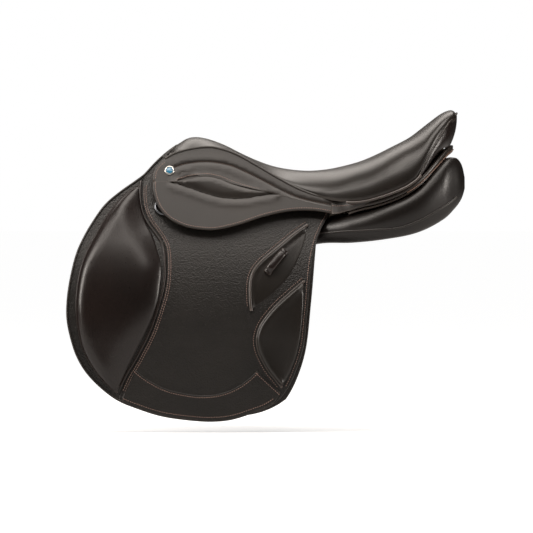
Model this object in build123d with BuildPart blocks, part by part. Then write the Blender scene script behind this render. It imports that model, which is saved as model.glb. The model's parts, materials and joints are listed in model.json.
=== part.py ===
from build123d import *

import os
from math import asin, cos, radians, sin, sqrt, tan

# An english jumping saddle, in millimetres. X runs from the pommel (-X) to the cantle (+X), Z is up and the
# near (left) side is at -Y. The origin is on the centre line, level with the panels' lowest bearing line.
# Every side piece is made for the near side, then mirrored for the off (right) side.

os.makedirs("parts", exist_ok=True)

# ---- Lean of the sides: a straight shoulder, a bend, then plumb leather -------------------------------------
LEAN = radians(24)          # lean of the shoulder from the vertical
SHOULDER_Z = 151.0          # top of the shoulder
SHOULDER_Y = 50.0           # half width over the flaps at the shoulder's top
BEND_Z = 0.0                # height at which the shoulder begins to bend
PLUMB_Z = -150.0            # height below which the leather hangs plumb
FOOT_Z = -290.0             # lower than any leather
BEND_Y = SHOULDER_Y + (SHOULDER_Z - BEND_Z) * tan(LEAN)
BEND_RADIUS = (BEND_Z - PLUMB_Z) / sin(LEAN)
CENTRE_Y = BEND_Y - BEND_RADIUS * cos(LEAN)
REACH = 420.0               # longer than any piece

# ---- Depths of the layers, measured outward from the flap's outer face --------------------------------------
FLAP = (-4.5, 0.0)
GIRTH_STRAP = (-10.0, -6.3)
GIRTH_WEB = (-13.6, -10.4)
SWEAT_FLAP = (-14.5, -11.0)
BAR_PLATE = (-17.6, -14.8)
TREE_SIDE = (-26.0, -18.0)
HEAD_LEG = (-29.0, -26.2)
SKIRT = (10.5, 14.5)
OVERLAY = 0.3               # depth at which leather sewn on the flap begins

# ---- Flap hinge: a straight line in the skirt's outer face --------------------------------------------------
HINGE_X = -217.0
HINGE_Z = 116.0
HINGE_FALL = 0.2424         # fall of the hinge line per millimetre toward the cantle
HINGE_GAP = 0.8

# ---- Seat: station, crown, edge, half width and how far inner layers drop at their edges ---------------------
SEAT_STATIONS = [
    (-208, 146, 133, 56, 1.0),
    (-180, 161, 144, 67, 1.0),
    (-140, 155, 146, 67, 1.0),
    (-40, 114, 99, 87, 1.0),
    (20, 111, 74, 101, 0.9),
    (80, 126, 67, 126, 0.5),
    (140, 154, 86, 136, 0.4),
    (190, 188, 126, 114, 0.4),
    (224, 200, 170, 70, 0.4),
]
COVER = (0.0, 2.2)
FOAM = (3.0, 16.0)
WEBBING = (17.0, 18.6)
TREE = (20.0, 29.0)
HEAD_PLATE = (29.6, 32.6)

# ---- Hardware -----------------------------------------------------------------------------------------------
STRAP_WIDTH = 25.0
STRAP_XS = (-160.0, -115.0, -70.0)
STRAP_TOP = 42.0
STRAP_BOTTOM = -236.0
STRAP_HOLE_RADIUS = 2.25
STRAP_HOLE_PITCH = 25.0
STRAP_HOLE_COUNT = 6
STRAP_HOLE_LOWEST = -222.0
BAR_Z = 59.0                # height of the stirrup bar
BAR_FRONT = -184.0
BAR_REAR = -118.0
BAR_HEIGHT = 10.0
BAR_DEPTHS = (1.5, 6.0)
BAR_ARM = 10.0
BAR_PLATE_X = -160.0
BAR_PLATE_LENGTH = 62.0
BAR_PLATE_HEIGHT = 20.0
RIVET_RADIUS = 2.5
RIVET_PLACES = ((-8.0, 0.0), (8.0, 6.0), (24.0, 0.0))
RIVET_HEAD = 0.8
PLATE_CORNER = 4.0
BAR_CORNER = 3.0
NOTCH_X = -143.0            # the flap is cut away round the stirrup bar, open at the top
NOTCH_Z = 84.0
NOTCH_LENGTH = 102.0
NOTCH_HEIGHT = 92.0
NOTCH_CORNER = 12.0
NAIL_NOTCH_X = (-246.0, -190.0)     # and under the skirt's sewn corner at the nail
NAIL_NOTCH_Z = 88.0
PIN_RADIUS = 2.0
PIN_HEAD_RADIUS = 3.4
PIN_HEAD_HEIGHT = 0.9
PIN_CLEARANCE = 0.05
CATCH_X = -123.0
CATCH_LENGTH = 26.0
CATCH_WIDTH = 9.0
CHAPE_WIDTH = 15.0
CHAPE_LENGTH = 22.0
CHAPE_LIP = 4.5
CHAPE_HEIGHT = 7.6
CATCH_DEPTHS = (6.3, 8.8)
DEE_X = -219.0
DEE_Z = 59.0
DEE_RADIUS = 13.0
DEE_WIRE = 2.0
DEE_DEPTH = 4.2
DEE_DROP = 4.0              # straight sides between the bar and the round of the dee
DEE_CLEARANCE = 0.3
NAIL_X = -211.0
NAIL_Z = 111.0
NAIL_RADIUS = 7.5
NAIL_WALL = 2.2
NAIL_LIFT = 0.1
STUD_CLEARANCE = 0.1
STUD_HEIGHT = 1.6

# ---- Leather sewn on the flap or the skirt ------------------------------------------------------------------
KNEE_PAD = (OVERLAY, 20.0)
CALF_BLOCK = (OVERLAY, 12.0)
HEM_BAND = (OVERLAY, 2.3)
KEEPER_PATCH = (OVERLAY, 2.6)
SKIRT_LEAF = (SKIRT[1] + 0.2, SKIRT[1] + 3.4)
PAD_ROUNDING = 7.0
BLOCK_ROUNDING = 4.0
SKIRT_REAR = 30.0
KEEPER_X = -49.0
KEEPER_Z = -28.0
KEEPER_TURN = 53.0
KEEPER_LENGTH = 46.0
KEEPER_WIDTH = 12.0
KEEPER_HEIGHT = 6.5
LEATHER_WIDTH = 27.0        # room for a 25 mm stirrup leather

# ---- Tree ---------------------------------------------------------------------------------------------------
FLANK_SHARE = 0.64
FLANK_RISE = 0.72
TREE_OPENING_X = 45.0
TREE_OPENING_LENGTH = 190.0
TREE_OPENING_WIDTH = 68.0
TREE_REAR_X = 206.0         # the tree ends ahead of the cantle's back facing
HEAD_LEG_XS = (-190.0, -180.5)
HEAD_LEG_ZS = (10.0, 112.5)
WEB_WIDTH = 54.0
POMMEL_FACE = (-210.8, 142, 129, 53, 1.0)      # laid out as a seat station
POMMEL_FACE_HEIGHT = 26.0
CANTLE_FACE_X = 224.5
FACING_THICKNESS = 2.0
RIM_THICKNESS = 3.0

# ---- Panel sections: station, then points round the section, (half width, height) ---------------------------
PANEL_SECTIONS = [
    (-185, ((30, 66), (52, 68), (83, 0), (97, -38), (84, -44), (58, 0))),
    (-110, ((32, 60), (56, 62), (82, 4), (95, -30), (80, -37), (56, 8))),
    (-40, ((34, 54), (58, 56), (86, 8), (92, -10), (74, -14), (50, 18))),
    (15, ((35, 41), (68, 42), (94, 18), (92, 2), (72, 1), (42, 18))),
    (65, ((36, 46), (98, 44), (122, 24), (110, 3), (72, 8), (40, 26))),
    (115, ((38, 54), (120, 55), (140, 32), (126, 8), (76, 18), (42, 34))),
    (165, ((40, 76), (118, 78), (138, 50), (122, 20), (76, 32), (44, 52))),
    (208, ((41, 108), (96, 114), (118, 82), (104, 42), (74, 52), (46, 72))),
    (236, ((46, 110), (70, 112), (84, 98), (76, 84), (60, 84), (48, 95))),
]


def shoulder(z, depth):
    """Distance from the centre line of the straight shoulder at a height and a layer depth."""
    return SHOULDER_Y + (SHOULDER_Z - z) * tan(LEAN) + depth / cos(LEAN)


def side_plane(x, z, depth):
    """Plane on the near side at a depth: local x toward the cantle, local y up the slope, normal outward."""
    if z >= BEND_Z:
        lean = LEAN
        out_y, out_z = shoulder(z, 0), z
    else:
        lean = asin((z - PLUMB_Z) / BEND_RADIUS)
        out_y, out_z = CENTRE_Y + BEND_RADIUS * cos(lean), z
    origin = (x, -(out_y + depth * cos(lean)), out_z + depth * sin(lean))
    return Plane(origin=origin, x_dir=(1, 0, 0), z_dir=(0, -cos(lean), sin(lean)))


def hinge_height(x, drop=0.0):
    """Height of the flap hinge line at a station, or of a parallel line lower down."""
    return HINGE_Z - HINGE_FALL * (x - HINGE_X) - drop


def band(inner, outer):
    """Cross-section of one layer of near-side leather between two depths."""
    crest_z = SHOULDER_Z + 14
    middle = LEAN / 2
    with BuildSketch(Plane.YZ) as section:
        with BuildLine():
            for depth in (inner, outer):
                radius = BEND_RADIUS + depth
                bend = (-(BEND_Y + depth * cos(LEAN)), BEND_Z + depth * sin(LEAN))
                way = (-(CENTRE_Y + radius * cos(middle)), PLUMB_Z + radius * sin(middle))
                plumb = (-(CENTRE_Y + radius), PLUMB_Z)
                Line((-shoulder(crest_z, depth), crest_z), bend)
                ThreePointArc(bend, way, plumb)
                Line(plumb, (plumb[0], FOOT_Z))
            Line((-shoulder(crest_z, inner), crest_z), (-shoulder(crest_z, outer), crest_z))
            Line((-(CENTRE_Y + BEND_RADIUS + inner), FOOT_Z), (-(CENTRE_Y + BEND_RADIUS + outer), FOOT_Z))
        make_face()
    return section.sketch


def leather(outline, depths):
    """A leaf of near-side leather: one layer of the side, trimmed to an outline in the XZ plane."""
    extrude(band(*depths), amount=REACH, both=True)
    extrude(outline, amount=REACH, mode=Mode.INTERSECT)


def layer_depth(point):
    """Depth of a point on the near side, measured outward from the flap's outer face."""
    y = -point.Y
    if point.Z <= PLUMB_Z:
        return y - CENTRE_Y - BEND_RADIUS
    radius = sqrt((y - CENTRE_Y) ** 2 + (point.Z - PLUMB_Z) ** 2)
    if (point.Z - PLUMB_Z) <= radius * sin(LEAN):
        return radius - BEND_RADIUS
    return (y - SHOULDER_Y - (SHOULDER_Z - point.Z) * tan(LEAN)) * cos(LEAN)


# ---- Outlines in the XZ plane (x toward the cantle, z up) ----------------------------------------------------
with BuildSketch(Plane.XZ) as flap_outline:
    with BuildLine():
        Spline(
            (-240, hinge_height(-240, 4)), (-287, 79), (-335, 22), (-361, -50), (-366, -110), (-350, -173),
            (-310, -222), (-250, -253), (-190, -266), (-147, -269), (-95, -258), (-40, -229),
        )
        Spline((-40, -229), (-12, -173), (-1, -95), (11, -1), (34, hinge_height(34, 4)))
        Line((34, hinge_height(34, 4)), (-240, hinge_height(-240, 4)))
    make_face()


with BuildSketch(Plane.XZ) as flap_tip_outline:
    foot_front = (-236, hinge_height(-236, -HINGE_GAP))
    foot_rear = (-222, hinge_height(-222, -HINGE_GAP))
    with BuildLine():
        Polyline(foot_front, (-222, 136), (-213, 144), (-211.5, 141), (-217, 134), foot_rear, close=True)
    make_face()


with BuildSketch(Plane.XZ) as sweat_flap_outline:
    with BuildLine():
        Spline(
            (-205, 40), (-258, 28), (-300, -30), (-318, -100), (-300, -180), (-240, -232), (-150, -255),
            (-80, -250), (-34, -232),
        )
        Spline((-34, -232), (-8, -170), (0, -90), (8, 0), (12, 40))
        Line((12, 40), (-205, 40))
    make_face()


with BuildSketch(Plane.XZ) as knee_pad_outline:
    with BuildLine():
        Spline((-257, 87), (-304, 47), (-342, -24), (-353, -92), (-342, -160), (-322, -194), (-290, -226))
        Spline((-290, -226), (-260, -160), (-229, -92), (-222, -34), (-235, 14), (-253, 58), (-257, 87))
    make_face()


with BuildSketch(Plane.XZ) as calf_block_outline:
    with BuildLine():
        Spline((-7, -56), (-48, -91), (-76, -128), (-77, -162), (-60, -194), (-42, -216))
        Spline((-42, -216), (-22, -178), (-11, -118), (-7, -56))
    make_face()


with BuildSketch(Plane.XZ) as hem_outline:
    with BuildLine():
        Spline((-258, -196), (-216, -220), (-160, -230), (-106, -215), (-82, -196))
        Line((-82, -196), (-43, -230))
        Spline((-43, -230), (-95, -256), (-147, -266), (-190, -263), (-245, -252), (-279, -236))
        Line((-279, -236), (-258, -196))
    make_face()


with BuildSketch(Plane.XZ) as keeper_outline:
    with BuildLine():
        Spline((-2, 30), (-40, 2), (-78, -32), (-89, -72), (-88, -101))
        Spline((-88, -101), (-48, -70), (-14, -18), (-2, 30))
    make_face()


# The skirt below the hinge line, notched round the corner that the saddle nail holds.
with BuildSketch(Plane.XZ) as skirt_outline:
    with BuildLine():
        Polyline(
            (-236, 93), (-198.5, 93), (-192, hinge_height(-192, HINGE_GAP)),
            (SKIRT_REAR, hinge_height(SKIRT_REAR, HINGE_GAP)), (SKIRT_REAR, 46),
        )
        Spline(
            (SKIRT_REAR, 46), (5, 50), (-29, 49), (-90, 33), (-150, 20), (-200, 31), (-229, 58), (-236, 93),
        )
    make_face()


# The strip of skirt sewn under the seat's edge, with the corner round the nail and the rear tail.
with BuildSketch(Plane.XZ) as skirt_band_outline:
    seam_front = -192 - HINGE_GAP
    with BuildLine():
        Spline((-217, 127), (-180, 136.5), (-140, 138.5), (-90, 119.5), (-40, 90.5), (10, 69), (30, 62))
        Polyline(
            (SKIRT_REAR, 62), (SKIRT_REAR, hinge_height(SKIRT_REAR, -HINGE_GAP)),
            (seam_front, hinge_height(seam_front, -HINGE_GAP)), (-200, 95), (-236, 95),
        )
        Spline((-236, 95), (-234, 113), (-217, 127))
    make_face()


with BuildSketch(Plane.XZ) as seat_welt_outline:
    with BuildLine():
        Spline((-217, 127.6), (-180, 137.1), (-140, 139.1), (-90, 120.1), (-40, 91.1), (10, 69.6), (30, 62.6))
        Line((30, 62.6), (30, 65.0))
        Spline((30, 65.0), (10, 72.0), (-40, 93.5), (-90, 122.5), (-140, 141.5), (-180, 139.5), (-217, 130.0))
        Line((-217, 130.0), (-217, 127.6))
    make_face()


with BuildSketch(Plane.XZ) as skirt_leaf_outline:
    with BuildLine():
        Spline((-205, 90), (-165, 98), (-130, 91), (-90, 81), (-49, 72))
        Spline((-49, 72), (-95, 67), (-150, 73), (-205, 90))
    make_face()


# Webbing that comes down from the tree behind all three girth straps.
with BuildSketch(Plane.XZ) as girth_webbing_outline:
    half = STRAP_WIDTH / 2
    with BuildLine():
        Polyline(
            (STRAP_XS[0] - half + 3, 43), (STRAP_XS[2] + half, 43), (STRAP_XS[2] + half, 84),
            (STRAP_XS[0] - half + 3, 84), close=True,
        )
    make_face()


# ---- Seat layers --------------------------------------------------------------------------------------------
def crescent(station, depths):
    """Cross-section of a seat layer between two depths under the seat's outer face."""
    x, crown, edge, half_width, drop = station
    with BuildSketch(Plane.YZ.offset(x)) as section:
        with BuildLine():
            ends = []
            for depth in depths:
                side = half_width - depth
                low = edge - drop * depth
                high = crown - depth
                flank = low + FLANK_RISE * (high - low)
                inboard = side * FLANK_SHARE
                Spline((-side, low), (-inboard, flank), (0, high), (inboard, flank), (side, low))
                ends.append((side, low))
            for sign in (-1, 1):
                Line((sign * ends[0][0], ends[0][1]), (sign * ends[1][0], ends[1][1]))
        make_face()
    return section.sketch


def seat_layer(depths, first=0, last=None):
    """A layer of the seat, lofted through its stations from the pommel to the cantle."""
    loft([crescent(station, depths) for station in SEAT_STATIONS[first:last]])


def side_plate(depths, x_range, z_range, side):
    """A flat plate in a layer of the shoulder, on the near side (-1) or the off side (+1)."""
    low, high = z_range
    with BuildSketch(Plane.YZ.offset(x_range[0])) as profile:
        with BuildLine():
            Polyline(
                (side * shoulder(high, depths[0]), high), (side * shoulder(high, depths[1]), high),
                (side * shoulder(low, depths[1]), low), (side * shoulder(low, depths[0]), low), close=True,
            )
        make_face()
    extrude(profile.sketch, amount=x_range[1] - x_range[0])


# ---- Tree and seat ------------------------------------------------------------------------------------------
with BuildSketch(Plane.XZ) as tree_side_outline:
    with BuildLine():
        Polyline(
            (-192, 112), (-62, 94), (-62, 48), (-146, 44), (-154, -14), (-188, -14), (-192, 30), close=True
        )
    make_face()

with BuildPart() as tree_side:
    leather(tree_side_outline.sketch, TREE_SIDE)

with BuildPart() as tree:
    seat_layer(TREE)
    with BuildSketch(Plane.XY):
        with Locations((TREE_OPENING_X, 0)):
            Ellipse(TREE_OPENING_LENGTH / 2, TREE_OPENING_WIDTH / 2)
    extrude(amount=REACH, mode=Mode.SUBTRACT)
    with BuildSketch(Plane.YZ.offset(TREE_REAR_X)):
        Rectangle(2 * REACH, 2 * REACH)
    extrude(amount=REACH, mode=Mode.SUBTRACT)
    add(tree_side.part)
    add(mirror(tree_side.part, about=Plane.XZ, mode=Mode.PRIVATE))

with BuildPart() as head_plate:
    seat_layer(HEAD_PLATE, 0, 2)
    for side in (-1, 1):
        side_plate(HEAD_LEG, HEAD_LEG_XS, HEAD_LEG_ZS, side)

with BuildPart() as seat_webbing:
    seat_layer(WEBBING, 1, 8)
    with BuildSketch(Plane.XY):
        Rectangle(2 * REACH, WEB_WIDTH)
        with Locations((TREE_OPENING_X, 0)):
            Rectangle(WEB_WIDTH, 2.4 * WEB_WIDTH)
    extrude(amount=REACH, mode=Mode.INTERSECT)

with BuildPart() as seat_foam:
    seat_layer(FOAM)

with BuildPart() as seat_cover:
    seat_layer(COVER)

with BuildPart() as pommel_facing:
    extrude(crescent(POMMEL_FACE, (0.0, POMMEL_FACE_HEIGHT)), amount=FACING_THICKNESS)

with BuildPart() as cantle_facing:
    with BuildSketch(Plane.YZ.offset(CANTLE_FACE_X)):
        with BuildLine():
            Spline((-66, 157), (-43, 185), (0, 197), (43, 185), (66, 157))
            Spline((66, 157), (0, 149), (-66, 157))
        make_face()
    extrude(amount=FACING_THICKNESS)

with BuildPart() as cantle_rim:
    for shrink, way in ((0.0, Mode.ADD), (RIM_THICKNESS, Mode.SUBTRACT)):
        with BuildSketch(Plane.XY):
            with BuildLine():
                Spline(
                    (60 - shrink, shrink - 110), (115, shrink - 130), (160, shrink - 127),
                    (196 - shrink, shrink - 103), (221 - shrink, 0), (196 - shrink, 103 - shrink),
                    (160, 127 - shrink), (115, 130 - shrink), (60 - shrink, 110 - shrink),
                )
                Line((60 - shrink, 110 - shrink), (60 - shrink, shrink - 110))
            make_face()
        extrude(amount=REACH, mode=way)
    with BuildSketch(Plane.XZ):
        with BuildLine():
            Spline((72, 50), (115, 60), (160, 82), (196, 116), (224, 138))
            Line((224, 138), (224, 145))
            Spline((224, 145), (196, 123), (160, 88), (115, 66), (72, 55.5))
            Line((72, 55.5), (72, 50))
        make_face()
    extrude(amount=REACH, both=True, mode=Mode.INTERSECT)

# ---- Near side: panel and sweat flap ------------------------------------------------------------------------
with BuildPart() as panel:
    for x, ring in PANEL_SECTIONS:
        with BuildSketch(Plane.YZ.offset(x)):
            with BuildLine():
                Polyline(*[(-y, z) for y, z in ring], close=True)
            make_face()
    loft(ruled=True)

with BuildPart() as sweat_flap:
    leather(sweat_flap_outline.sketch, SWEAT_FLAP)

# ---- Near side: flap and what is sewn on it -----------------------------------------------------------------
with BuildPart() as flap:
    leather(flap_outline.sketch, FLAP)
    with BuildSketch(side_plane(NOTCH_X, NOTCH_Z, 0)):
        RectangleRounded(NOTCH_LENGTH, NOTCH_HEIGHT, NOTCH_CORNER)
    extrude(amount=-2 * (FLAP[1] - FLAP[0]), both=True, mode=Mode.SUBTRACT)
    with BuildSketch(Plane.XZ):
        with Locations((sum(NAIL_NOTCH_X) / 2, NAIL_NOTCH_Z)):
            Rectangle(NAIL_NOTCH_X[1] - NAIL_NOTCH_X[0], REACH, align=(Align.CENTER, Align.MIN))
    extrude(amount=REACH, mode=Mode.SUBTRACT)

with BuildPart() as flap_tip:
    leather(flap_tip_outline.sketch, FLAP)

with BuildPart() as knee_pad:
    leather(knee_pad_outline.sketch, KNEE_PAD)
    fillet([e for e in knee_pad.edges() if layer_depth(e @ 0.5) > KNEE_PAD[1] - 0.1], PAD_ROUNDING)

with BuildPart() as calf_block:
    leather(calf_block_outline.sketch, CALF_BLOCK)
    fillet([e for e in calf_block.edges() if layer_depth(e @ 0.5) > CALF_BLOCK[1] - 0.1], BLOCK_ROUNDING)

with BuildPart() as hem_band:
    leather(hem_outline.sketch, HEM_BAND)

with BuildPart() as keeper_patch:
    leather(keeper_outline.sketch, KEEPER_PATCH)

with BuildPart() as keeper_loop:
    with BuildSketch(side_plane(KEEPER_X, KEEPER_Z, KEEPER_PATCH[1] + 0.9)):
        SlotOverall(KEEPER_LENGTH, KEEPER_WIDTH, rotation=KEEPER_TURN)
    extrude(amount=KEEPER_HEIGHT)
    with BuildSketch(side_plane(KEEPER_X, KEEPER_Z, KEEPER_PATCH[1] + 0.4)):
        Rectangle(LEATHER_WIDTH, 2 * KEEPER_WIDTH, rotation=KEEPER_TURN)
    extrude(amount=KEEPER_HEIGHT - 2.0, mode=Mode.SUBTRACT)

with BuildPart() as dee_chape:
    with BuildSketch(side_plane(DEE_X, DEE_Z, OVERLAY)):
        with Locations((0, CHAPE_LENGTH / 2 - CHAPE_LIP)):
            RectangleRounded(CHAPE_WIDTH, CHAPE_LENGTH, 2.5)
    extrude(amount=CHAPE_HEIGHT)
    chape_hole = side_plane(DEE_X, DEE_Z, DEE_DEPTH)
    with BuildSketch(Plane(chape_hole.origin - (REACH, 0, 0), z_dir=(1, 0, 0))):
        Circle(DEE_WIRE + DEE_CLEARANCE)
    extrude(amount=2 * REACH, mode=Mode.SUBTRACT)

# ---- Near side: skirt ---------------------------------------------------------------------------------------
with BuildPart() as skirt:
    leather(skirt_outline.sketch, SKIRT)

with BuildPart() as skirt_band:
    leather(skirt_band_outline.sketch, SKIRT)

with BuildPart() as seat_welt:
    leather(seat_welt_outline.sketch, SKIRT)

with BuildPart() as skirt_leaf:
    leather(skirt_leaf_outline.sketch, SKIRT_LEAF)

with BuildPart() as nail_rim:
    with BuildSketch(side_plane(NAIL_X, NAIL_Z, SKIRT[1] + NAIL_LIFT)):
        Circle(NAIL_RADIUS)
        Circle(NAIL_RADIUS - NAIL_WALL, mode=Mode.SUBTRACT)
    extrude(amount=NAIL_WALL)

with BuildPart() as nail_enamel:
    with BuildSketch(side_plane(NAIL_X, NAIL_Z, SKIRT[1] + NAIL_LIFT)):
        Circle(NAIL_RADIUS - NAIL_WALL - STUD_CLEARANCE)
    extrude(amount=STUD_HEIGHT)

# ---- Near side: girth straps and webbing --------------------------------------------------------------------
with BuildPart() as girth_webbing:
    leather(girth_webbing_outline.sketch, GIRTH_WEB)

straps = []
half = STRAP_WIDTH / 2
for place, strap_x in zip(("front", "middle", "rear"), STRAP_XS):
    with BuildSketch(Plane.XZ) as strap_outline:
        with BuildLine():
            Polyline(
                (strap_x - half, STRAP_TOP), (strap_x + half, STRAP_TOP), (strap_x + half, STRAP_BOTTOM + half),
                (strap_x, STRAP_BOTTOM), (strap_x - half, STRAP_BOTTOM + half), close=True,
            )
        make_face()
        for k in range(STRAP_HOLE_COUNT):
            with Locations((strap_x, STRAP_HOLE_LOWEST + k * STRAP_HOLE_PITCH)):
                Circle(STRAP_HOLE_RADIUS, mode=Mode.SUBTRACT)
    with BuildPart() as girth_strap:
        leather(strap_outline.sketch, GIRTH_STRAP)
    straps.append((f"girth_strap_{place}", girth_strap))

# ---- Near side: stirrup bar ---------------------------------------------------------------------------------
with BuildPart() as stirrup_bar:
    with BuildSketch(side_plane(BAR_PLATE_X, BAR_Z, BAR_PLATE[0])):
        RectangleRounded(BAR_PLATE_LENGTH, BAR_PLATE_HEIGHT, PLATE_CORNER)
        with Locations(*RIVET_PLACES):
            Circle(RIVET_RADIUS + 0.1, mode=Mode.SUBTRACT)
    extrude(amount=BAR_PLATE[1] - BAR_PLATE[0])
    with BuildSketch(side_plane(BAR_FRONT + BAR_ARM / 2, BAR_Z, BAR_PLATE[0])):
        RectangleRounded(BAR_ARM, BAR_HEIGHT, BAR_CORNER)
    extrude(amount=BAR_DEPTHS[1] - BAR_PLATE[0])
    with BuildSketch(side_plane((BAR_FRONT + BAR_REAR) / 2, BAR_Z, BAR_DEPTHS[0])):
        RectangleRounded(BAR_REAR - BAR_FRONT, BAR_HEIGHT, BAR_CORNER)
        with Locations((CATCH_X - (BAR_FRONT + BAR_REAR) / 2, 0)):
            Circle(PIN_RADIUS + PIN_CLEARANCE, mode=Mode.SUBTRACT)
    extrude(amount=BAR_DEPTHS[1] - BAR_DEPTHS[0])

with BuildPart() as bar_rivets:
    for rivet_x, rivet_y in RIVET_PLACES:
        with BuildSketch(side_plane(BAR_PLATE_X, BAR_Z, BAR_PLATE[0] - 0.05)):
            with Locations((rivet_x, rivet_y)):
                Circle(RIVET_RADIUS)
        extrude(amount=BAR_PLATE[1] - BAR_PLATE[0] + RIVET_HEAD)

with BuildPart() as bar_catch:
    with BuildSketch(side_plane(CATCH_X, BAR_Z, CATCH_DEPTHS[0])):
        with Locations(((CATCH_LENGTH - CATCH_WIDTH) / 2, 0)):
            SlotOverall(CATCH_LENGTH, CATCH_WIDTH)
        Circle(PIN_RADIUS + PIN_CLEARANCE, mode=Mode.SUBTRACT)
    extrude(amount=CATCH_DEPTHS[1] - CATCH_DEPTHS[0])

with BuildPart() as catch_pin:
    with BuildSketch(side_plane(CATCH_X, BAR_Z, BAR_DEPTHS[0])):
        Circle(PIN_RADIUS)
    extrude(amount=CATCH_DEPTHS[1] - BAR_DEPTHS[0] + 0.2)
    with BuildSketch(side_plane(CATCH_X, BAR_Z, CATCH_DEPTHS[1] + 0.2)):
        Circle(PIN_HEAD_RADIUS)
    extrude(amount=PIN_HEAD_HEIGHT)

with BuildPart() as dee_ring:
    with BuildLine() as dee_line:
        half = DEE_RADIUS
        with BuildLine(side_plane(DEE_X, DEE_Z, DEE_DEPTH)):
            Line((0, 0), (half, 0))
            Line((half, 0), (half, -DEE_DROP))
            RadiusArc((half, -DEE_DROP), (-half, -DEE_DROP), half)
            Line((-half, -DEE_DROP), (-half, 0))
            Line((-half, 0), (0, 0))
    with BuildSketch(Plane(dee_line.line @ 0, z_dir=(1, 0, 0))):
        Circle(DEE_WIRE)
    sweep(transition=Transition.ROUND)

# ---- Write every piece; near-side pieces also as their off-side mirror images --------------------------------
CENTRE_PIECES = [
    ("tree", tree), ("head_plate", head_plate), ("seat_webbing", seat_webbing), ("seat_foam", seat_foam),
    ("seat_cover", seat_cover), ("pommel_facing", pommel_facing), ("cantle_facing", cantle_facing),
    ("cantle_rim", cantle_rim),
]
NEAR_PIECES = straps + [
    ("panel", panel), ("sweat_flap", sweat_flap), ("flap", flap), ("flap_tip", flap_tip),
    ("knee_pad", knee_pad), ("calf_block", calf_block), ("hem_band", hem_band), ("keeper_patch", keeper_patch),
    ("keeper_loop", keeper_loop), ("dee_chape", dee_chape), ("dee_ring", dee_ring), ("skirt", skirt),
    ("skirt_band", skirt_band), ("seat_welt", seat_welt), ("skirt_leaf", skirt_leaf), ("nail_rim", nail_rim),
    ("nail_enamel", nail_enamel), ("girth_webbing", girth_webbing), ("stirrup_bar", stirrup_bar),
    ("bar_rivets", bar_rivets), ("bar_catch", bar_catch), ("catch_pin", catch_pin),
]

for name, piece in CENTRE_PIECES:
    piece.part.label = name
    export_step(piece.part, f"parts/{name}.step")

for name, piece in NEAR_PIECES:
    piece.part.label = f"{name}_left"
    export_step(piece.part, f"parts/{name}_left.step")
    off_side = mirror(piece.part, about=Plane.XZ)
    off_side.label = f"{name}_right"
    export_step(off_side, f"parts/{name}_right.step")
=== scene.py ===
import json
import math

import bmesh
import bpy
import numpy as np
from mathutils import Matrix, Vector
from mathutils.geometry import delaunay_2d_cdt


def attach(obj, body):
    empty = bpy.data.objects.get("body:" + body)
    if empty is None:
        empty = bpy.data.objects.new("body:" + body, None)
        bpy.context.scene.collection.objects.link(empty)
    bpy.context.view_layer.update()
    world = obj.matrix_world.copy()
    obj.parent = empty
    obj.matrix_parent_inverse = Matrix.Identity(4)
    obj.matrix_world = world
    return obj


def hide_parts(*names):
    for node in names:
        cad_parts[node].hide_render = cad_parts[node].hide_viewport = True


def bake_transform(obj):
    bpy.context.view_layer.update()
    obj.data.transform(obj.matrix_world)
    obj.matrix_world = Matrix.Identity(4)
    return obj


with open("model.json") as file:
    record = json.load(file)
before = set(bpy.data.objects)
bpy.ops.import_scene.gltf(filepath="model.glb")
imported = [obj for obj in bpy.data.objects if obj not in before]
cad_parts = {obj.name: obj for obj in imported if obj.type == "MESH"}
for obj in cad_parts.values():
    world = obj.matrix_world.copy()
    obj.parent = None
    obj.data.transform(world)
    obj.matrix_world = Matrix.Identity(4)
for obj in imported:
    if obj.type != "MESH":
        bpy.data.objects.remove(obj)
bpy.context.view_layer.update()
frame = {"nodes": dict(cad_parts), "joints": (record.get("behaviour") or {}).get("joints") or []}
MM = 0.001
SIDES = (("left", -1), ("right", 1))

# ---- The shape of the sides: straight shoulder, bend, plumb leather (millimetres) ----
LEAN = math.radians(24)
SHOULDER_Y, SHOULDER_Z = 50.0, 151.0
BEND_Z, PLUMB_Z = 0.0, -150.0
BEND_Y = SHOULDER_Y + (SHOULDER_Z - BEND_Z) * math.tan(LEAN)
BEND_RADIUS = (BEND_Z - PLUMB_Z) / math.sin(LEAN)
CENTRE_Y = BEND_Y - BEND_RADIUS * math.cos(LEAN)

# ---- Depths measured outward from the flap's outer face ----
FLAP_BACK = -4.5
SWEAT_FACE, SWEAT_BACK = -11.0, -14.5
SKIRT_FACE, SKIRT_BACK = 14.5, 10.5
HEM_FACE = 2.0
LEAF_BACK = 12.6
ON_FLAP = 0.1  # back of a leather that is sewn on the flap
EDGE_ROUND = 1.6

# ---- The hinge line of flap and skirt ----
HINGE_X, HINGE_Z, HINGE_FALL = -217.0, 116.0, 0.2424


def side_y(z, depth):
    """Distance from the centre plane of a side layer at a height."""
    z, depth = np.broadcast_arrays(np.asarray(z, float), np.asarray(depth, float))
    straight = SHOULDER_Y + (SHOULDER_Z - z) * math.tan(LEAN) + depth / math.cos(LEAN)
    radius = BEND_RADIUS + depth
    reach = np.clip(z - PLUMB_Z, 0, None)
    bent = CENTRE_Y + np.sqrt(np.clip(radius**2 - reach**2, 0, None))
    return np.where(z > BEND_Z + depth * math.sin(LEAN), straight, bent)


def on_side(points, depth, side):
    """Points (x, z) on a side layer, as rows of x, y, z in metres."""
    points = np.asarray(points, float)
    y = side * side_y(points[:, 1], depth)
    return np.column_stack((points[:, 0], y, points[:, 1])) * MM


def side_normal(points, side):
    """Outward unit normals of the side at points (x, z)."""
    z = np.asarray(points, float)[:, 1]
    sine = np.clip((z - PLUMB_Z) / BEND_RADIUS, 0, math.sin(LEAN))
    return np.column_stack((np.zeros(len(z)), side * np.sqrt(1 - sine**2), sine))


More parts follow.
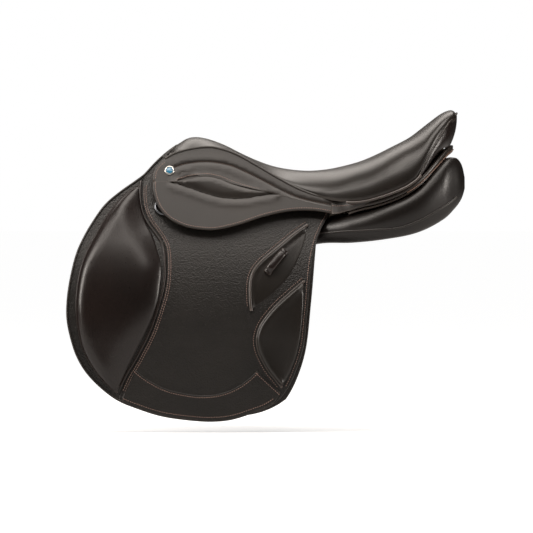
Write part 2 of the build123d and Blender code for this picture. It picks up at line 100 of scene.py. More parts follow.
def hinge_height(x):
    return HINGE_Z - HINGE_FALL * (x - HINGE_X)


# ---- Curves ----
def hermite(t, start, start_slope, end, end_slope):
    """The cubic between two values with given slopes at t 0 and 1."""
    return (
        (2 * t**3 - 3 * t**2 + 1) * start + (t**3 - 2 * t**2 + t) * start_slope
        + (3 * t**2 - 2 * t**3) * end + (t**3 - t**2) * end_slope
    )


def smooth(points, step=4.0):
    """A smooth curve through the points (any number of coordinates), sampled about every step."""
    p = np.asarray(points, float)
    if len(p) == 2:
        count = max(2, int(np.linalg.norm(p[1] - p[0]) / step) + 1)
        return p[0] + np.linspace(0, 1, count)[:, None] * (p[1] - p[0])
    chord = np.sqrt(np.linalg.norm(np.diff(p, axis=0), axis=1)) + 1e-9
    knots = np.concatenate(([0], np.cumsum(chord)))
    slope = np.gradient(p, knots, axis=0, edge_order=2)
    out = []
    for i in range(len(p) - 1):
        count = max(2, int(np.linalg.norm(p[i + 1] - p[i]) / step) + 1)
        t = np.linspace(0, 1, count, endpoint=False)[:, None]
        h = knots[i + 1] - knots[i]
        out.append(hermite(t, p[i], h * slope[i], p[i + 1], h * slope[i + 1]))
    return np.vstack(out + [p[-1:]])


def curve(points):
    """A function of x that follows a smooth curve through points (x, value)."""
    fine = smooth(points, 2)
    return lambda x: np.interp(x, fine[:, 0], fine[:, 1])


def joined(*runs):
    """A closed outline from runs that each start where the last one ended."""
    return np.vstack([run[:-1] for run in runs])


def resampled(path, count):
    """The path with a given number of evenly spaced points."""
    path = np.asarray(path, float)
    travelled = np.concatenate(([0], np.cumsum(np.linalg.norm(np.diff(path, axis=0), axis=1))))
    places = np.linspace(0, travelled[-1], count)
    return np.column_stack([np.interp(places, travelled, path[:, k]) for k in range(path.shape[1])])


def distance_to(points, line, closed=False):
    """Distance from each point to a line of points in the plane."""
    a, b = (line, np.roll(line, -1, axis=0)) if closed else (line[:-1], line[1:])
    ab = b - a
    length2 = (ab**2).sum(1) + 1e-12
    best = np.full(len(points), 1e9)
    for k in range(len(a)):
        t = np.clip(((points - a[k]) @ ab[k]) / length2[k], 0, 1)
        gap = points - a[k] - t[:, None] * ab[k]
        best = np.minimum(best, np.hypot(gap[:, 0], gap[:, 1]))
    return best


def inside(points, ring):
    """Whether each point is inside a closed outline."""
    x, z = points[:, 0], points[:, 1]
    result = np.zeros(len(points), bool)
    x0, z0 = ring[-1]
    for x1, z1 in ring:
        crosses = ((z1 > z) != (z0 > z)) & (x < (x0 - x1) * (z - z1) / (z0 - z1 + 1e-12) + x1)
        result ^= crosses
        x0, z0 = x1, z1
    return result


def unit(vectors):
    return vectors / (np.linalg.norm(vectors, axis=1)[:, None] + 1e-12)


def tangents(path):
    return unit(np.gradient(path, axis=0))


def shifted(line, amount, closed=False):
    """The line moved sideways in its plane: to the left of its direction for a positive amount."""
    way = unit(np.roll(line, -1, axis=0) - np.roll(line, 1, axis=0)) if closed else tangents(line)
    return line + amount * np.column_stack((-way[:, 1], way[:, 0]))


def dense(ring, step=4.0):
    """A closed outline whose long straight runs have points along them."""
    out = []
    for a, b in zip(ring, np.roll(ring, -1, axis=0)):
        count = max(1, int(math.ceil(np.linalg.norm(b - a) / step)))
        out.append(a + np.arange(count)[:, None] / count * (b - a))
    return np.vstack(out)


def inset(ring, amount):
    """A closed outline moved inward, without the points that folded over at tight corners."""
    area = 0.5 * np.sum(ring[:, 0] * np.roll(ring[:, 1], -1) - np.roll(ring[:, 0], -1) * ring[:, 1])
    moved = shifted(ring, amount if area > 0 else -amount, closed=True)
    keep = inside(moved, ring) & (distance_to(moved, ring, closed=True) > 0.9 * amount)
    return moved[keep]


# ---- Meshes ----
def with_bmesh(mesh, *steps):
    """Run clean-up steps on a mesh."""
    cleaner = bmesh.new()
    cleaner.from_mesh(mesh)
    for step in steps:
        step(cleaner)
    cleaner.to_mesh(mesh)
    cleaner.free()


def face_outward(cleaner):
    bmesh.ops.recalc_face_normals(cleaner, faces=cleaner.faces)


def weld(cleaner):
    bmesh.ops.remove_doubles(cleaner, verts=cleaner.verts, dist=1e-6)


def new_mesh(name, verts, faces, smooth_angle=50):
    """A linked mesh object with shading that breaks at edges sharper than an angle in degrees."""
    mesh = bpy.data.meshes.new(name)
    mesh.from_pydata([tuple(v) for v in verts], [], [tuple(int(i) for i in f) for f in faces])
    mesh.validate()
    with_bmesh(mesh, face_outward)
    mesh.polygons.foreach_set("use_smooth", [True] * len(mesh.polygons))
    mesh.set_sharp_from_angle(angle=math.radians(smooth_angle))
    obj = bpy.data.objects.new(name, mesh)
    bpy.context.scene.collection.objects.link(obj)
    return obj


def staggered_grid(low, high, spacing):
    """Points of a triangular grid over a box in the plane."""
    rows = []
    for k, z in enumerate(np.arange(low[1], high[1], spacing * 0.866)):
        x = np.arange(low[0] + (k % 2) * spacing / 2, high[0], spacing)
        rows.append(np.column_stack((x, np.full(len(x), z))))
    return np.vstack(rows)


def sheet(name, side, ring, face, back, spacing=7.0, creases=(), rings=(0.7, 2.0, 4.5)):
    """A leather sheet on the side, over a closed outline.

    face(points, distance to the edge) gives the outer depths, back the inner depth. The mesh is finer along
    the rings, at these distances from the edge, and along creases, which are (line, width).
    """
    ring = dense(ring)
    grid = staggered_grid(ring.min(0), ring.max(0), spacing)
    fixed = [inset(ring, amount) for amount in rings]
    keep = inside(grid, ring) & (distance_to(grid, ring, closed=True) > max(rings) + 0.4 * spacing)
    for line, width in creases:
        near = np.vstack([shifted(line, s * width) for s in (-1.6, -0.8, 0, 0.8, 1.6)])
        fixed.append(near[inside(near, ring) & (distance_to(near, ring, closed=True) > 0.6)])
        keep &= distance_to(grid, line) > 1.6 * width + 0.3 * spacing
    points = np.vstack([ring] + fixed + [grid[keep]])
    result = delaunay_2d_cdt([Vector(p) for p in points], [], [list(range(len(ring)))], 1, 1e-4, False)
    flat = np.array([tuple(v) for v in result[0]])
    triangles = np.array([f for f in result[2] if len(f) == 3])
    triangles = [tuple(f) for f in triangles[inside(flat[triangles].mean(1), ring)]]
    top = on_side(flat, face(flat, distance_to(flat, ring, closed=True)), side)
    bottom = on_side(flat, back, side)
    total = len(flat)
    faces = triangles + [tuple(reversed([i + total for i in f])) for f in triangles]
    edges = [(f[i], f[(i + 1) % 3]) for f in triangles for i in range(3)]
    paired = set(edges)
    faces += [(j, i, i + total, j + total) for i, j in edges if (j, i) not in paired]
    return new_mesh(name, np.vstack((top, bottom)), faces)


def grid_sheet(name, outer, inner, smooth_angle=50):
    """A leaf between two grids of points (rows, columns, 3) in millimetres, closed round its border."""
    rows, columns = outer.shape[:2]
    total = rows * columns
    faces = []
    for i in range(rows - 1):
        for a in range(i * columns, (i + 1) * columns - 1):
            top = (a, a + 1, a + 1 + columns, a + columns)
            faces += [top, tuple(top[k] + total for k in (0, 3, 2, 1))]
        for a in (i * columns, i * columns + columns - 1):
            faces.append((a, a + columns, a + columns + total, a + total))
    for first in (0, (rows - 1) * columns):
        faces += [(a, a + 1, a + 1 + total, a + total) for a in range(first, first + columns - 1)]
    return new_mesh(name, np.vstack((outer.reshape(-1, 3), inner.reshape(-1, 3))) * MM, faces, smooth_angle)


def frames(path):
    """Unit tangents and two steady normals along a path in space."""
    tangent = tangents(path)
    first = np.cross(tangent[0], (0.31, 0.52, 0.79))
    normals = [first / np.linalg.norm(first)]
    for t in tangent[1:]:
        n = normals[-1] - t * (normals[-1] @ t)
        normals.append(n / (np.linalg.norm(n) + 1e-12))
    normals = np.array(normals)
    return tangent, normals, np.cross(tangent, normals)


def tube(name, rings, closed=False, smooth_angle=50):
    """A skin over rings of points in metres, capped at its ends unless it closes on itself."""
    count, m = rings.shape[:2]
    faces = []
    for i in range(count if closed else count - 1):
        for j in range(m):
            a, b = i * m, ((i + 1) % count) * m
            faces.append((a + j, a + (j + 1) % m, b + (j + 1) % m, b + j))
    if not closed:
        faces += [tuple(range(m)), tuple(reversed(range((count - 1) * m, count * m)))]
    return new_mesh(name, rings.reshape(-1, 3), faces, smooth_angle)


def swept(name, path, section, closed=False, up=None):
    """A section of (across, out) points in millimetres carried along a path in metres."""
    path = np.asarray(path, float)
    tangent, n1, n2 = frames(path)
    if up is not None:
        up = np.broadcast_to(np.asarray(up, float), path.shape)
        n2 = unit(up - tangent * (up * tangent).sum(1)[:, None])
        n1 = np.cross(n2, tangent)
    section = np.asarray(section, float)[None] * MM
    rings = path[:, None] + section[..., :1] * n1[:, None] + section[..., 1:] * n2[:, None]
    return tube(name, rings, closed)


def round_section(radius, sides=10):
    return [(radius * math.cos(a), radius * math.sin(a)) for a in np.linspace(0, 2 * math.pi, sides, False)]


def lathe(name, profile, x, z, depth, side, turns=40):
    """A turned piece standing on the side: profile of (radius, height) in millimetres."""
    centre = on_side([(x, z)], depth, side)[0]
    out = side_normal([(x, z)], side)[0]
    u = np.array((1.0, 0.0, 0.0))
    v = np.cross(out, u)
    verts, faces = [], []
    for a in np.linspace(0, 2 * math.pi, turns, False):
        for radius, height in profile:
            verts.append(centre + (radius * (u * math.cos(a) + v * math.sin(a)) + out * height) * MM)
    n = len(profile)
    for k in range(turns):
        b = (k + 1) % turns
        faces += [(k * n + i, b * n + i, b * n + i + 1, k * n + i + 1) for i in range(n - 1)]
    obj = new_mesh(name, verts, faces, 40)
    with_bmesh(obj.data, weld, face_outward)
    return obj


# ---- Thread ----
STITCH_PITCH, STITCH_LENGTH, STITCH_RADIUS = 3.6, 2.5, 0.42
STITCH_ENDS = ((-0.5, 0.25), (-0.32, 1.0), (0.32, 1.0), (0.5, 0.25))  # place along it, share of the radius
STITCH_SIDES, STITCH_FLATNESS = 6, 0.8


def along(path, pitch):
    """Points and unit tangents at a steady pitch along a path, whose first three columns are its place."""
    steps = np.linalg.norm(np.diff(path[:, :3], axis=0), axis=1)
    travelled = np.concatenate(([0], np.cumsum(steps)))
    places = np.arange(pitch / 2, travelled[-1], pitch)

    def at(where):
        return np.column_stack([np.interp(where, travelled, column) for column in path.T])
    return at(places), unit((at(places + 1e-4) - at(places - 1e-4))[:, :3])


def stitch_row(name, rows):
    """Thread stitches along rows; each row is a path in metres and the outward normal at its points."""
    verts, faces = [], []
    corners = round_section(1.0, STITCH_SIDES)
    for path, normal in rows:
        both = np.column_stack((path, np.broadcast_to(normal, path.shape)))
        for p, way in zip(*along(both, STITCH_PITCH * MM)):
            centre, out = p[:3], p[3:] / np.linalg.norm(p[3:])
            across = np.cross(out, way)
            base = len(verts)
            for place, share in STITCH_ENDS:
                middle = centre + way * place * STITCH_LENGTH * MM
                size = share * STITCH_RADIUS * MM
                verts += [middle + (across * c + out * s * STITCH_FLATNESS) * size for c, s in corners]
            for k in range(STITCH_SIDES):
                after = (k + 1) % STITCH_SIDES
                for a in range(base, base + 3 * STITCH_SIDES, STITCH_SIDES):
                    faces.append((a + k, a + after, a + STITCH_SIDES + after, a + STITCH_SIDES + k))
            faces.append(tuple(base + k for k in reversed(range(STITCH_SIDES))))
            faces.append(tuple(base + 3 * STITCH_SIDES + k for k in range(STITCH_SIDES)))
    return new_mesh(name, verts, faces)


# ---- Materials ----
def feed(tree, node, inputs):
    """Set a node's inputs, by name or number, to values or to the outputs of other nodes."""
    for key, value in inputs.items():
        if isinstance(value, bpy.types.NodeSocket):
            tree.links.new(value, node.inputs[key])
        else:
            node.inputs[key].default_value = value


def add(tree, kind, inputs=None, **settings):
    """A new shader node of a kind, with its settings and inputs."""
    node = tree.nodes.new("ShaderNode" + kind)
    for key, value in settings.items():
        setattr(node, key, value)
    feed(tree, node, inputs or {})
    return node


def new_material(name):
    """A material, its node tree, its shader and the object coordinates."""
    mat = bpy.data.materials.new(name)
    mat.use_nodes = True
    tree = mat.node_tree
    return mat, tree, tree.nodes["Principled BSDF"], add(tree, "TexCoord").outputs["Object"]


def noise(tree, scale, detail, coords):
    return add(tree, "TexNoise", {"Scale": scale, "Detail": detail, "Vector": coords}).outputs["Fac"]


def ramp(tree, factor, low, high, start=0.0, end=1.0):
    """A colour that runs from low to high as the factor goes from start to end."""
    node = add(tree, "ValToRGB", {"Fac": factor})
    for stop, place, colour in zip(node.color_ramp.elements, (start, end), (low, high)):
        stop.position = place
        stop.color = (*colour, 1)
    return node.outputs["Color"]


def tinted(colour, share):
    return [share * c for c in colour]


def bump(tree, height, depth, **settings):
    """A normal raised by a height, to a depth in millimetres."""
    return add(tree, "Bump", {"Height": height, "Distance": depth * MM}, **settings)


def leather_material(name, colour, worn, grain, depth, rough, coat=0.06):
    """Dyed leather: cell grain of a given size in millimetres, tone changes, and paler worn high spots."""
    mat, tree, shader, coords = new_material(name)
    cells = add(
        tree, "TexVoronoi", {"Scale": 1000 / grain, "Randomness": 0.9, "Vector": coords}, feature="SMOOTH_F1"
    )
    warp = noise(tree, 500 / grain, 4, coords)
    creases = noise(tree, 2600 / grain, 3, coords)
    tone = noise(tree, 14, 5, coords)
    height = add(
        tree, "Math", {0: creases, 1: 0.35, 2: cells.outputs["Distance"]}, operation="MULTIPLY_ADD"
    )
    grained = bump(tree, height.outputs[0], depth, invert=True)
    feed(tree, grained, {"Strength": 0.8})
    shade = ramp(tree, tone, tinted(colour, 0.72), tinted(colour, 1.25), 0.3, 0.72)
    pointed = add(tree, "NewGeometry").outputs["Pointiness"]
    edge = add(tree, "MapRange", {"From Min": 0.53, "From Max": 0.66, "Value": pointed})
    wear = add(
        tree, "Mix", {"A": shade, "B": (*worn, 1), "Factor": edge.outputs["Result"]}, data_type="RGBA"
    )
    gloss = add(tree, "MapRange", {"To Min": rough - 0.06, "To Max": rough + 0.08, "Value": warp})
    feed(tree, shader, {
        "Base Color": wear.outputs["Result"], "Roughness": gloss.outputs["Result"],
        "Normal": grained.outputs["Normal"], "Coat Weight": coat, "Coat Roughness": 0.28,
        "Specular IOR Level": 0.42,
    })
    return mat


def thread_material(name, colour):
    """Linen thread with fine bands across it."""
    mat, tree, shader, coords = new_material(name)
    wave = add(tree, "TexWave", {"Scale": 900, "Distortion": 2, "Vector": coords})
    twist = ramp(tree, wave.outputs["Fac"], tinted(colour, 0.6), colour)
    feed(tree, shader, {"Base Color": twist, "Roughness": 0.7})
    return mat


def metal_material(name, colour, rough):
    """Metal with fine scratches."""
    mat, tree, shader, coords = new_material(name)
    scratches = noise(tree, 700, 4, coords)
    gloss = add(tree, "MapRange", {"To Min": rough, "To Max": rough + 0.15, "Value": scratches})
    feed(tree, shader, {
        "Base Color": (*colour, 1), "Metallic": 1, "Roughness": gloss.outputs["Result"],
        "Normal": bump(tree, scratches, 0.05).outputs["Normal"],
    })
    return mat


def webbing_material(name, colour):
    """Woven webbing."""
    mat, tree, shader, coords = new_material(name)
    checks = add(tree, "TexChecker", {
        "Scale": 900, "Color1": (*colour, 1), "Color2": (*tinted(colour, 0.7), 1), "Vector": coords,
    })
    feed(tree, shader, {
        "Base Color": checks.outputs["Color"], "Roughness": 0.85,
        "Normal": bump(tree, checks.outputs["Fac"], 0.4).outputs["Normal"],
    })
    return mat


def wood_material(name, dark, light):
    """Lacquered wood with a wavy grain."""
    mat, tree, shader, coords = new_material(name)
    wave = add(tree, "TexWave", {"Scale": 60, "Distortion": 6, "Detail": 3, "Vector": coords})
    feed(tree, shader, {"Base Color": ramp(tree, wave.outputs["Fac"], dark, light), "Roughness": 0.5})
    return mat


def enamel_material(name, dark, light):
    """Glossy coloured enamel."""
    mat, tree, shader, _ = new_material(name)
    clouds = add(tree, "TexNoise", {"Scale": 900}).outputs["Fac"]
    feed(tree, shader, {
        "Base Color": ramp(tree, clouds, dark, light), "Roughness": 0.18, "Coat Weight": 0.8,
    })
    return mat


# Leathers: colour, worn colour, grain size and depth in millimetres, roughness, coat.
SMOOTH = leather_material(
    "smooth_leather", (0.0100, 0.0078, 0.0062), (0.060, 0.048, 0.040), 0.9, 0.05, 0.33
)
KNEE = leather_material(
    "knee_leather", (0.0080, 0.0046, 0.0038), (0.050, 0.036, 0.030), 0.9, 0.05, 0.29, 0.04
)
SKIRT_LEATHER = leather_material(
    "skirt_leather", (0.0135, 0.0105, 0.0085), (0.09, 0.072, 0.060), 0.8, 0.05, 0.40
)
GRAINED = leather_material(
    "grained_leather", (0.0072, 0.0058, 0.0047), (0.075, 0.062, 0.052), 2.2, 0.85, 0.42, 0.02
)
PANEL_LEATHER = leather_material(
    "panel_leather", (0.0055, 0.0038, 0.0030), (0.055, 0.043, 0.037), 1.0, 0.06, 0.33, 0.0
)
STRAP_LEATHER = leather_material(
    "strap_leather", (0.0120, 0.0095, 0.0078), (0.08, 0.062, 0.052), 0.8, 0.06, 0.40
)
# Glossy cord leather with a real coat. Its base and worn colours are painted about twice as pale as the
# smooth leather, as a painted highlight on the raised cords.
CORD_PAINTED_HIGHLIGHT = leather_material(
    "cord_leather_painted_highlight", (0.022, 0.016, 0.013), (0.16, 0.13, 0.115), 0.8, 0.03, 0.30, 0.35
)
CUT_EDGE = leather_material("cut_edge", (0.085, 0.046, 0.028), (0.16, 0.10, 0.07), 0.7, 0.04, 0.50, 0.0)
THREAD = thread_material("thread", (0.30, 0.19, 0.155))
STEEL = metal_material("steel", (0.55, 0.56, 0.58), 0.28)
PLATED = metal_material("plated_brass", (0.62, 0.60, 0.56), 0.18)
DARK_METAL = metal_material("dark_metal", (0.22, 0.23, 0.25), 0.22)
WEBBING = webbing_material("webbing", (0.62, 0.56, 0.46))
WOOD = wood_material("lacquered_wood", (0.022, 0.015, 0.010), (0.042, 0.029, 0.020))
ENAMEL = enamel_material("enamel", (0.015, 0.10, 0.20), (0.05, 0.22, 0.34))

CAD_FINISHES = {
    "tree": (WOOD, "wood"), "seat_webbing": (WEBBING, "webbing"), "girth_webbing": (WEBBING, "webbing"),
    **dict.fromkeys(("head_plate", "stirrup_bar", "bar_rivets", "bar_catch", "catch_pin"), (STEEL, "steel")),
    **dict.fromkeys(
        ("girth_strap_front", "girth_strap_middle", "girth_strap_rear"), (STRAP_LEATHER, "strap_leather")
    ),
}


def paint(obj, mat, slot_name):
    """One material on the object; the slot name is not used."""
    obj.data.materials.clear()
    obj.data.materials.append(mat)


def dress(obj, mat, slot_name, body, *replaced):
    """Paint a new piece, put it in the place of CAD nodes, and let it ride on a body."""
    paint(obj, mat, slot_name)
    if replaced:
        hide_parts(*replaced)
    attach(obj, body)


for node_name, node in frame["nodes"].items():
    base = node_name.removesuffix("_left").removesuffix("_right")
    paint(node, *CAD_FINISHES.get(base, (SMOOTH, "smooth_leather")))


# ---- Relief of the side leathers ----
def quarter_round(distance, reach):
    """A rise from 0 at an edge to 1 at some reach from it, shaped as a quarter circle."""
    return np.sqrt(np.clip(1 - (1 - np.clip(distance / reach, 0, 1)) ** 2, 0, 1))


def rounded(outer, radius):
    """Face depth of a plain leaf with a rounded edge."""
    return lambda points, gap: outer - radius * (1 - quarter_round(gap, radius))


def free_edge(outer, line):
    """Face depth of a leaf whose edge is rounded only along part of its outline."""
    def face(points, gap):
        return outer - EDGE_ROUND * (1 - quarter_round(distance_to(points, line), EDGE_ROUND))
    return face


def rolled(front_line, rear_line, foot, height, roll, keep):
    """Depth of a leaf that rises in a roll from its front edge and falls away to a share of that behind."""
    def face(points, gap):
        front = distance_to(points, front_line)
        rear = distance_to(points, rear_line)
        share = np.clip(1 - (front - roll) / (front + rear - roll + 1e-6), 0, 1)
        body = keep + (1 - keep) * share**1.6
        return foot + height * quarter_round(front, roll) * body * quarter_round(rear, 3.0)
    return face


def groove(line, width, depth):
    """A pressed line: negative depth raises a ridge."""
    return lambda points: -depth * np.exp(-((distance_to(points, line) / width) ** 2))


def relief(base, *features):
    """A face with grooves, ridges and beds added to it."""
    return lambda points, gap: base(points, gap) + sum(feature(points) for feature in features)


def piping(name, side, line, depth, radius):
    """A round cord along a line on a side."""
    return swept(name, on_side(line, depth, side), round_section(radius))


def stitches(name, side, runs):
    """Stitch rows along (line, depth) runs on a side, as one piece."""
    return stitch_row(name, [(on_side(line, depth, side), side_normal(line, side)) for line, depth in runs])


# ---- Lines on the near side, seen square on (x toward the cantle, z up, millimetres) ----
FRONT_EDGE = [
    (-200, 151), (-213, 142), (-226, 131), (-238, 119), (-251, 105), (-263, 96), (-287, 79), (-309, 60),
    (-327, 35), (-341, 11), (-352, -14), (-361, -50), (-366, -85), (-366, -115), (-359, -148), (-350, -173),
    (-335, -197), (-310, -222), (-287, -238), (-263, -248), (-226, -260), (-190, -266), (-147, -269),
    (-116, -266), (-81, -255), (-65, -249), (-46, -237), (-37, -227),
]
REAR_EDGE = [
    (-37, -227), (-26, -209), (-19, -192), (-12, -173), (-6, -148), (-3, -118), (0, -87), (3, -50), (7, -20),
    (14, 8), (22, 27), (32, 46), (33, 58),
]
FLAP_TOP = [  # from the rear corner forward, with the cut-away round the stirrup bar
    (33, 58), (-50, 84), (-90, 100), (-92, 94), (-92, 52), (-96, 46), (-104, 42), (-182, 42), (-190, 46),
    (-194, 52), (-194, 116), (-204, 124), (-214, 132), (-206, 143), (-200, 151),
]
SWEAT_FRONT = [
    (-205, 40), (-258, 28), (-300, -30), (-318, -100), (-300, -180), (-240, -232), (-150, -258), (-80, -257),
    (-34, -235),
]
SWEAT_REAR = [(-34, -235), (-20, -210), (-5, -165), (4, -90), (10, -20), (15, 40)]
SWEAT_TOP = [(15, 40), (-100, 40)]
PAD_FRONT = [
    (-257, 87), (-280, 73), (-303, 46), (-323, 13), (-341, -24), (-349, -58), (-352, -92), (-349, -126),
    (-341, -160), (-324, -191), (-307, -211), (-290, -226),
]
PAD_REAR = [
    (-290, -226), (-277, -194), (-260, -160), (-243, -126), (-230, -92), (-225, -64), (-223, -34),
    (-229, -10), (-237, 14), (-247, 34), (-254, 58), (-257, 87),
]
SEAM = [
    (-288, -232), (-275, -202), (-257, -171), (-238, -133), (-225, -95), (-217, -64), (-215, -29), (-218, -3),
    (-230, 17), (-241, 32), (-250, 52), (-253, 83), (-250, 99),
]
HEM_TOP = [
    (-262, -190), (-243, -205), (-216, -219), (-188, -226), (-160, -229), (-133, -226), (-106, -215),
    (-78, -192),
]
HEM_SIDE = [(-78, -192), (-40, -227)]
HEM_CORNER = (-281, -231)
CALF_FRONT = [
    (-7, -55), (-26, -71), (-47, -90), (-63, -108), (-74, -125), (-79, -144), (-77, -160), (-70, -177),
    (-60, -194), (-50, -206), (-41, -218),
]
CALF_REAR = [(-41, -218), (-30, -199), (-20, -174), (-13, -146), (-9, -114), (-7, -80), (-7, -55)]
KEEPER_FRONT = [
    (-2, 30), (-20, 18), (-40, 2), (-58, -13), (-73, -26), (-84, -40), (-89, -55), (-90, -75), (-88, -101),
]
KEEPER_REAR = [(-88, -101), (-70, -88), (-48, -69), (-27, -44), (-14, -18), (-5, 8), (-2, 30)]
WELT = [
    (-217, 129), (-209, 134), (-200, 138), (-177, 144), (-151, 146.5), (-136, 144.5), (-113, 137), (-81, 120),
    (-49, 101), (-17, 84), (15, 72), (47, 65.5), (80, 65), (112, 73), (144, 85), (160, 94),
]
SKIRT_FOOT = [
    (-236, 94.5), (-236.5, 84), (-233, 68), (-226, 53), (-212, 38), (-188, 26), (-160, 21), (-139, 21),
    (-107, 28), (-67, 41), (-29, 49), (3, 50), (18, 48.6), (35, 45.5),
]
NOSE = [(-236, 94.5), (-235.5, 108), (-231, 117), (-224, 124.5), (-217, 129)]
SKIRT_SEAM = [
    (-203, 115), (-190, 119.5), (-177, 122), (-161, 123.5), (-145, 123), (-119, 118), (-93, 107), (-67, 94),
    (-42, 81), (-17, 70), (15, 62), (47, 57.5), (80, 60), (112, 70), (144, 84),
]
LEAF_TOP = [
    (-206, 94), (-193, 97.5), (-180, 101), (-157, 104), (-134, 99.8), (-119, 93.5), (-104, 88.5), (-88, 84),
    (-70, 81), (-47, 79.5),
]
LEAF_FOOT = [
    (-47, 79.5), (-60, 76), (-75, 73.3), (-99, 69.5), (-125, 70), (-151, 75.5), (-177, 84.5), (-206, 94),
]
SKIRT_CUT_X, SKIRT_CUT_Z = 35.0, 67.6  # where the skirt ends and its tail along the seat begins
HINGE_START_X = -192
NOSE_CORNER = (-200, 94.5)

front_edge, rear_edge = smooth(FRONT_EDGE), smooth(REAR_EDGE)
flap_ring = joined(front_edge, rear_edge, FLAP_TOP)
sweat_ring = np.vstack((joined(smooth(SWEAT_FRONT), smooth(SWEAT_REAR)), SWEAT_TOP))
pad_front, pad_rear = smooth(PAD_FRONT, 3), smooth(PAD_REAR, 3)
pad_ring = joined(pad_front, pad_rear)
seam = smooth(SEAM, 3)
hem_top, hem_side = smooth(HEM_TOP, 3), smooth(HEM_SIDE, 3)
hem_foot = shifted(front_edge, 2.2)
hem_foot = hem_foot[(hem_foot[:, 1] < -236) & (hem_foot[:, 0] > -284)]
hem_ring = np.vstack((joined(hem_top, hem_side), hem_foot[::-1], HEM_CORNER))
calf_front, calf_rear = smooth(CALF_FRONT, 3), smooth(CALF_REAR, 3)
calf_ring = joined(calf_front, calf_rear)
keeper_front, keeper_rear = smooth(KEEPER_FRONT, 3), smooth(KEEPER_REAR, 3)
keeper_ring = joined(keeper_front, keeper_rear)
skirt_foot, nose, welt = smooth(SKIRT_FOOT), smooth(NOSE, 2), smooth(WELT)
skirt_seam, leaf_top, leaf_foot = smooth(SKIRT_SEAM, 3), smooth(LEAF_TOP, 3), smooth(LEAF_FOOT, 3)
leaf_ring = joined(leaf_top, leaf_foot)
fold = np.array([(x, hinge_height(x)) for x in np.arange(SKIRT_CUT_X, HINGE_START_X - 0.1, -5.0)])
fold = np.vstack((fold, (HINGE_START_X, hinge_height(HINGE_START_X)), NOSE_CORNER))
skirt_ring = np.vstack((skirt_foot, fold))
band_ring = np.vstack((nose[:-1], welt[welt[:, 0] < SKIRT_CUT_X], (SKIRT_CUT_X, SKIRT_CUT_Z), fold))


def hinge_frame(hand, side):
    """A point on the flap's hinge line and the downhill direction in the side, both in metres."""
    joint = next(j for j in frame["joints"] if j["name"] == f"flap_lift_{hand}")
    out = Vector((0, side * math.cos(LEAN), math.sin(LEAN)))
    down = Vector(joint["axis"]).normalized().cross(out).normalized()
    return Vector(joint["pos_m"]), -down if down.z > 0 else down


def make_flap(hand, side):
    """Flap: one hide from the pommel strip to the foot, pressed along the knee pad's seam."""
    face = relief(
        rounded(0.0, EDGE_ROUND), groove(seam, 1.3, 1.0), groove(shifted(seam, -6), 3.5, -0.9),
        groove(shifted(front_edge, 9.0), 1.0, 0.5),
    )
    flap = sheet(f"flap_leather_{hand}", side, flap_ring, face, FLAP_BACK, creases=((seam, 1.6),))
    paint(flap, GRAINED, "flap_leather")
    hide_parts(f"flap_{hand}", f"flap_tip_{hand}")
    pivot, downhill = hinge_frame(hand, side)
    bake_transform(flap)


def pad_face(points, gap):
    """Knee pad: a full front roll, a slight hollow, and a fall to the rear seam."""
    front = distance_to(points, pad_front)
    rear = distance_to(points, pad_rear)
    drop = np.sin(np.clip(rear / 38, 0, 1) * math.pi / 2)
    share = rear / (front + rear + 1e-6)
    body = quarter_round(front, 18) * drop**0.7 * (0.70 + 0.30 * np.clip(share / 0.8, 0, 1))
    hollow = np.exp(-(((share - 0.34) / 0.17) ** 2)) * drop
    return 1.8 + 15.6 * body - 0.5 * hollow


# Calf block: a stuffed blade, full along its front edge and falling away to the rear.
calf_face = rolled(calf_front, calf_rear, foot=1.0, height=8.2, roll=6.0, keep=0.42)
# Keeper patch: a leaf with a raised roll along its front edge.
keeper_face = relief(
    rolled(keeper_front, keeper_rear, foot=0.4, height=3.4, roll=4.0, keep=0.15),
    groove(shifted(keeper_front, 9.5), 2.6, 0.8),
)


def leaf_bed(points):
    """The sunk bed of the padded leaf."""
    return np.where(inside(points, leaf_ring), -1.2, 0.0)


def leaf_face(points, gap):
    """Padded leaf: rises from its foot and rolls over toward its top seam."""
    foot = distance_to(points, leaf_foot)
    top = distance_to(points, leaf_top)
    share = np.clip(foot / (foot + top + 1e-6), 0, 1)
    return 13.6 + np.clip(gap / 5, 0, 1) * (0.5 + 3.2 * np.sin(share * math.pi * 0.62))


skirt_face = relief(
    free_edge(SKIRT_FACE, skirt_foot), groove(leaf_foot, 3.2, 1.7), groove(shifted(leaf_foot, 7), 4.0, -0.9),
    leaf_bed,
)
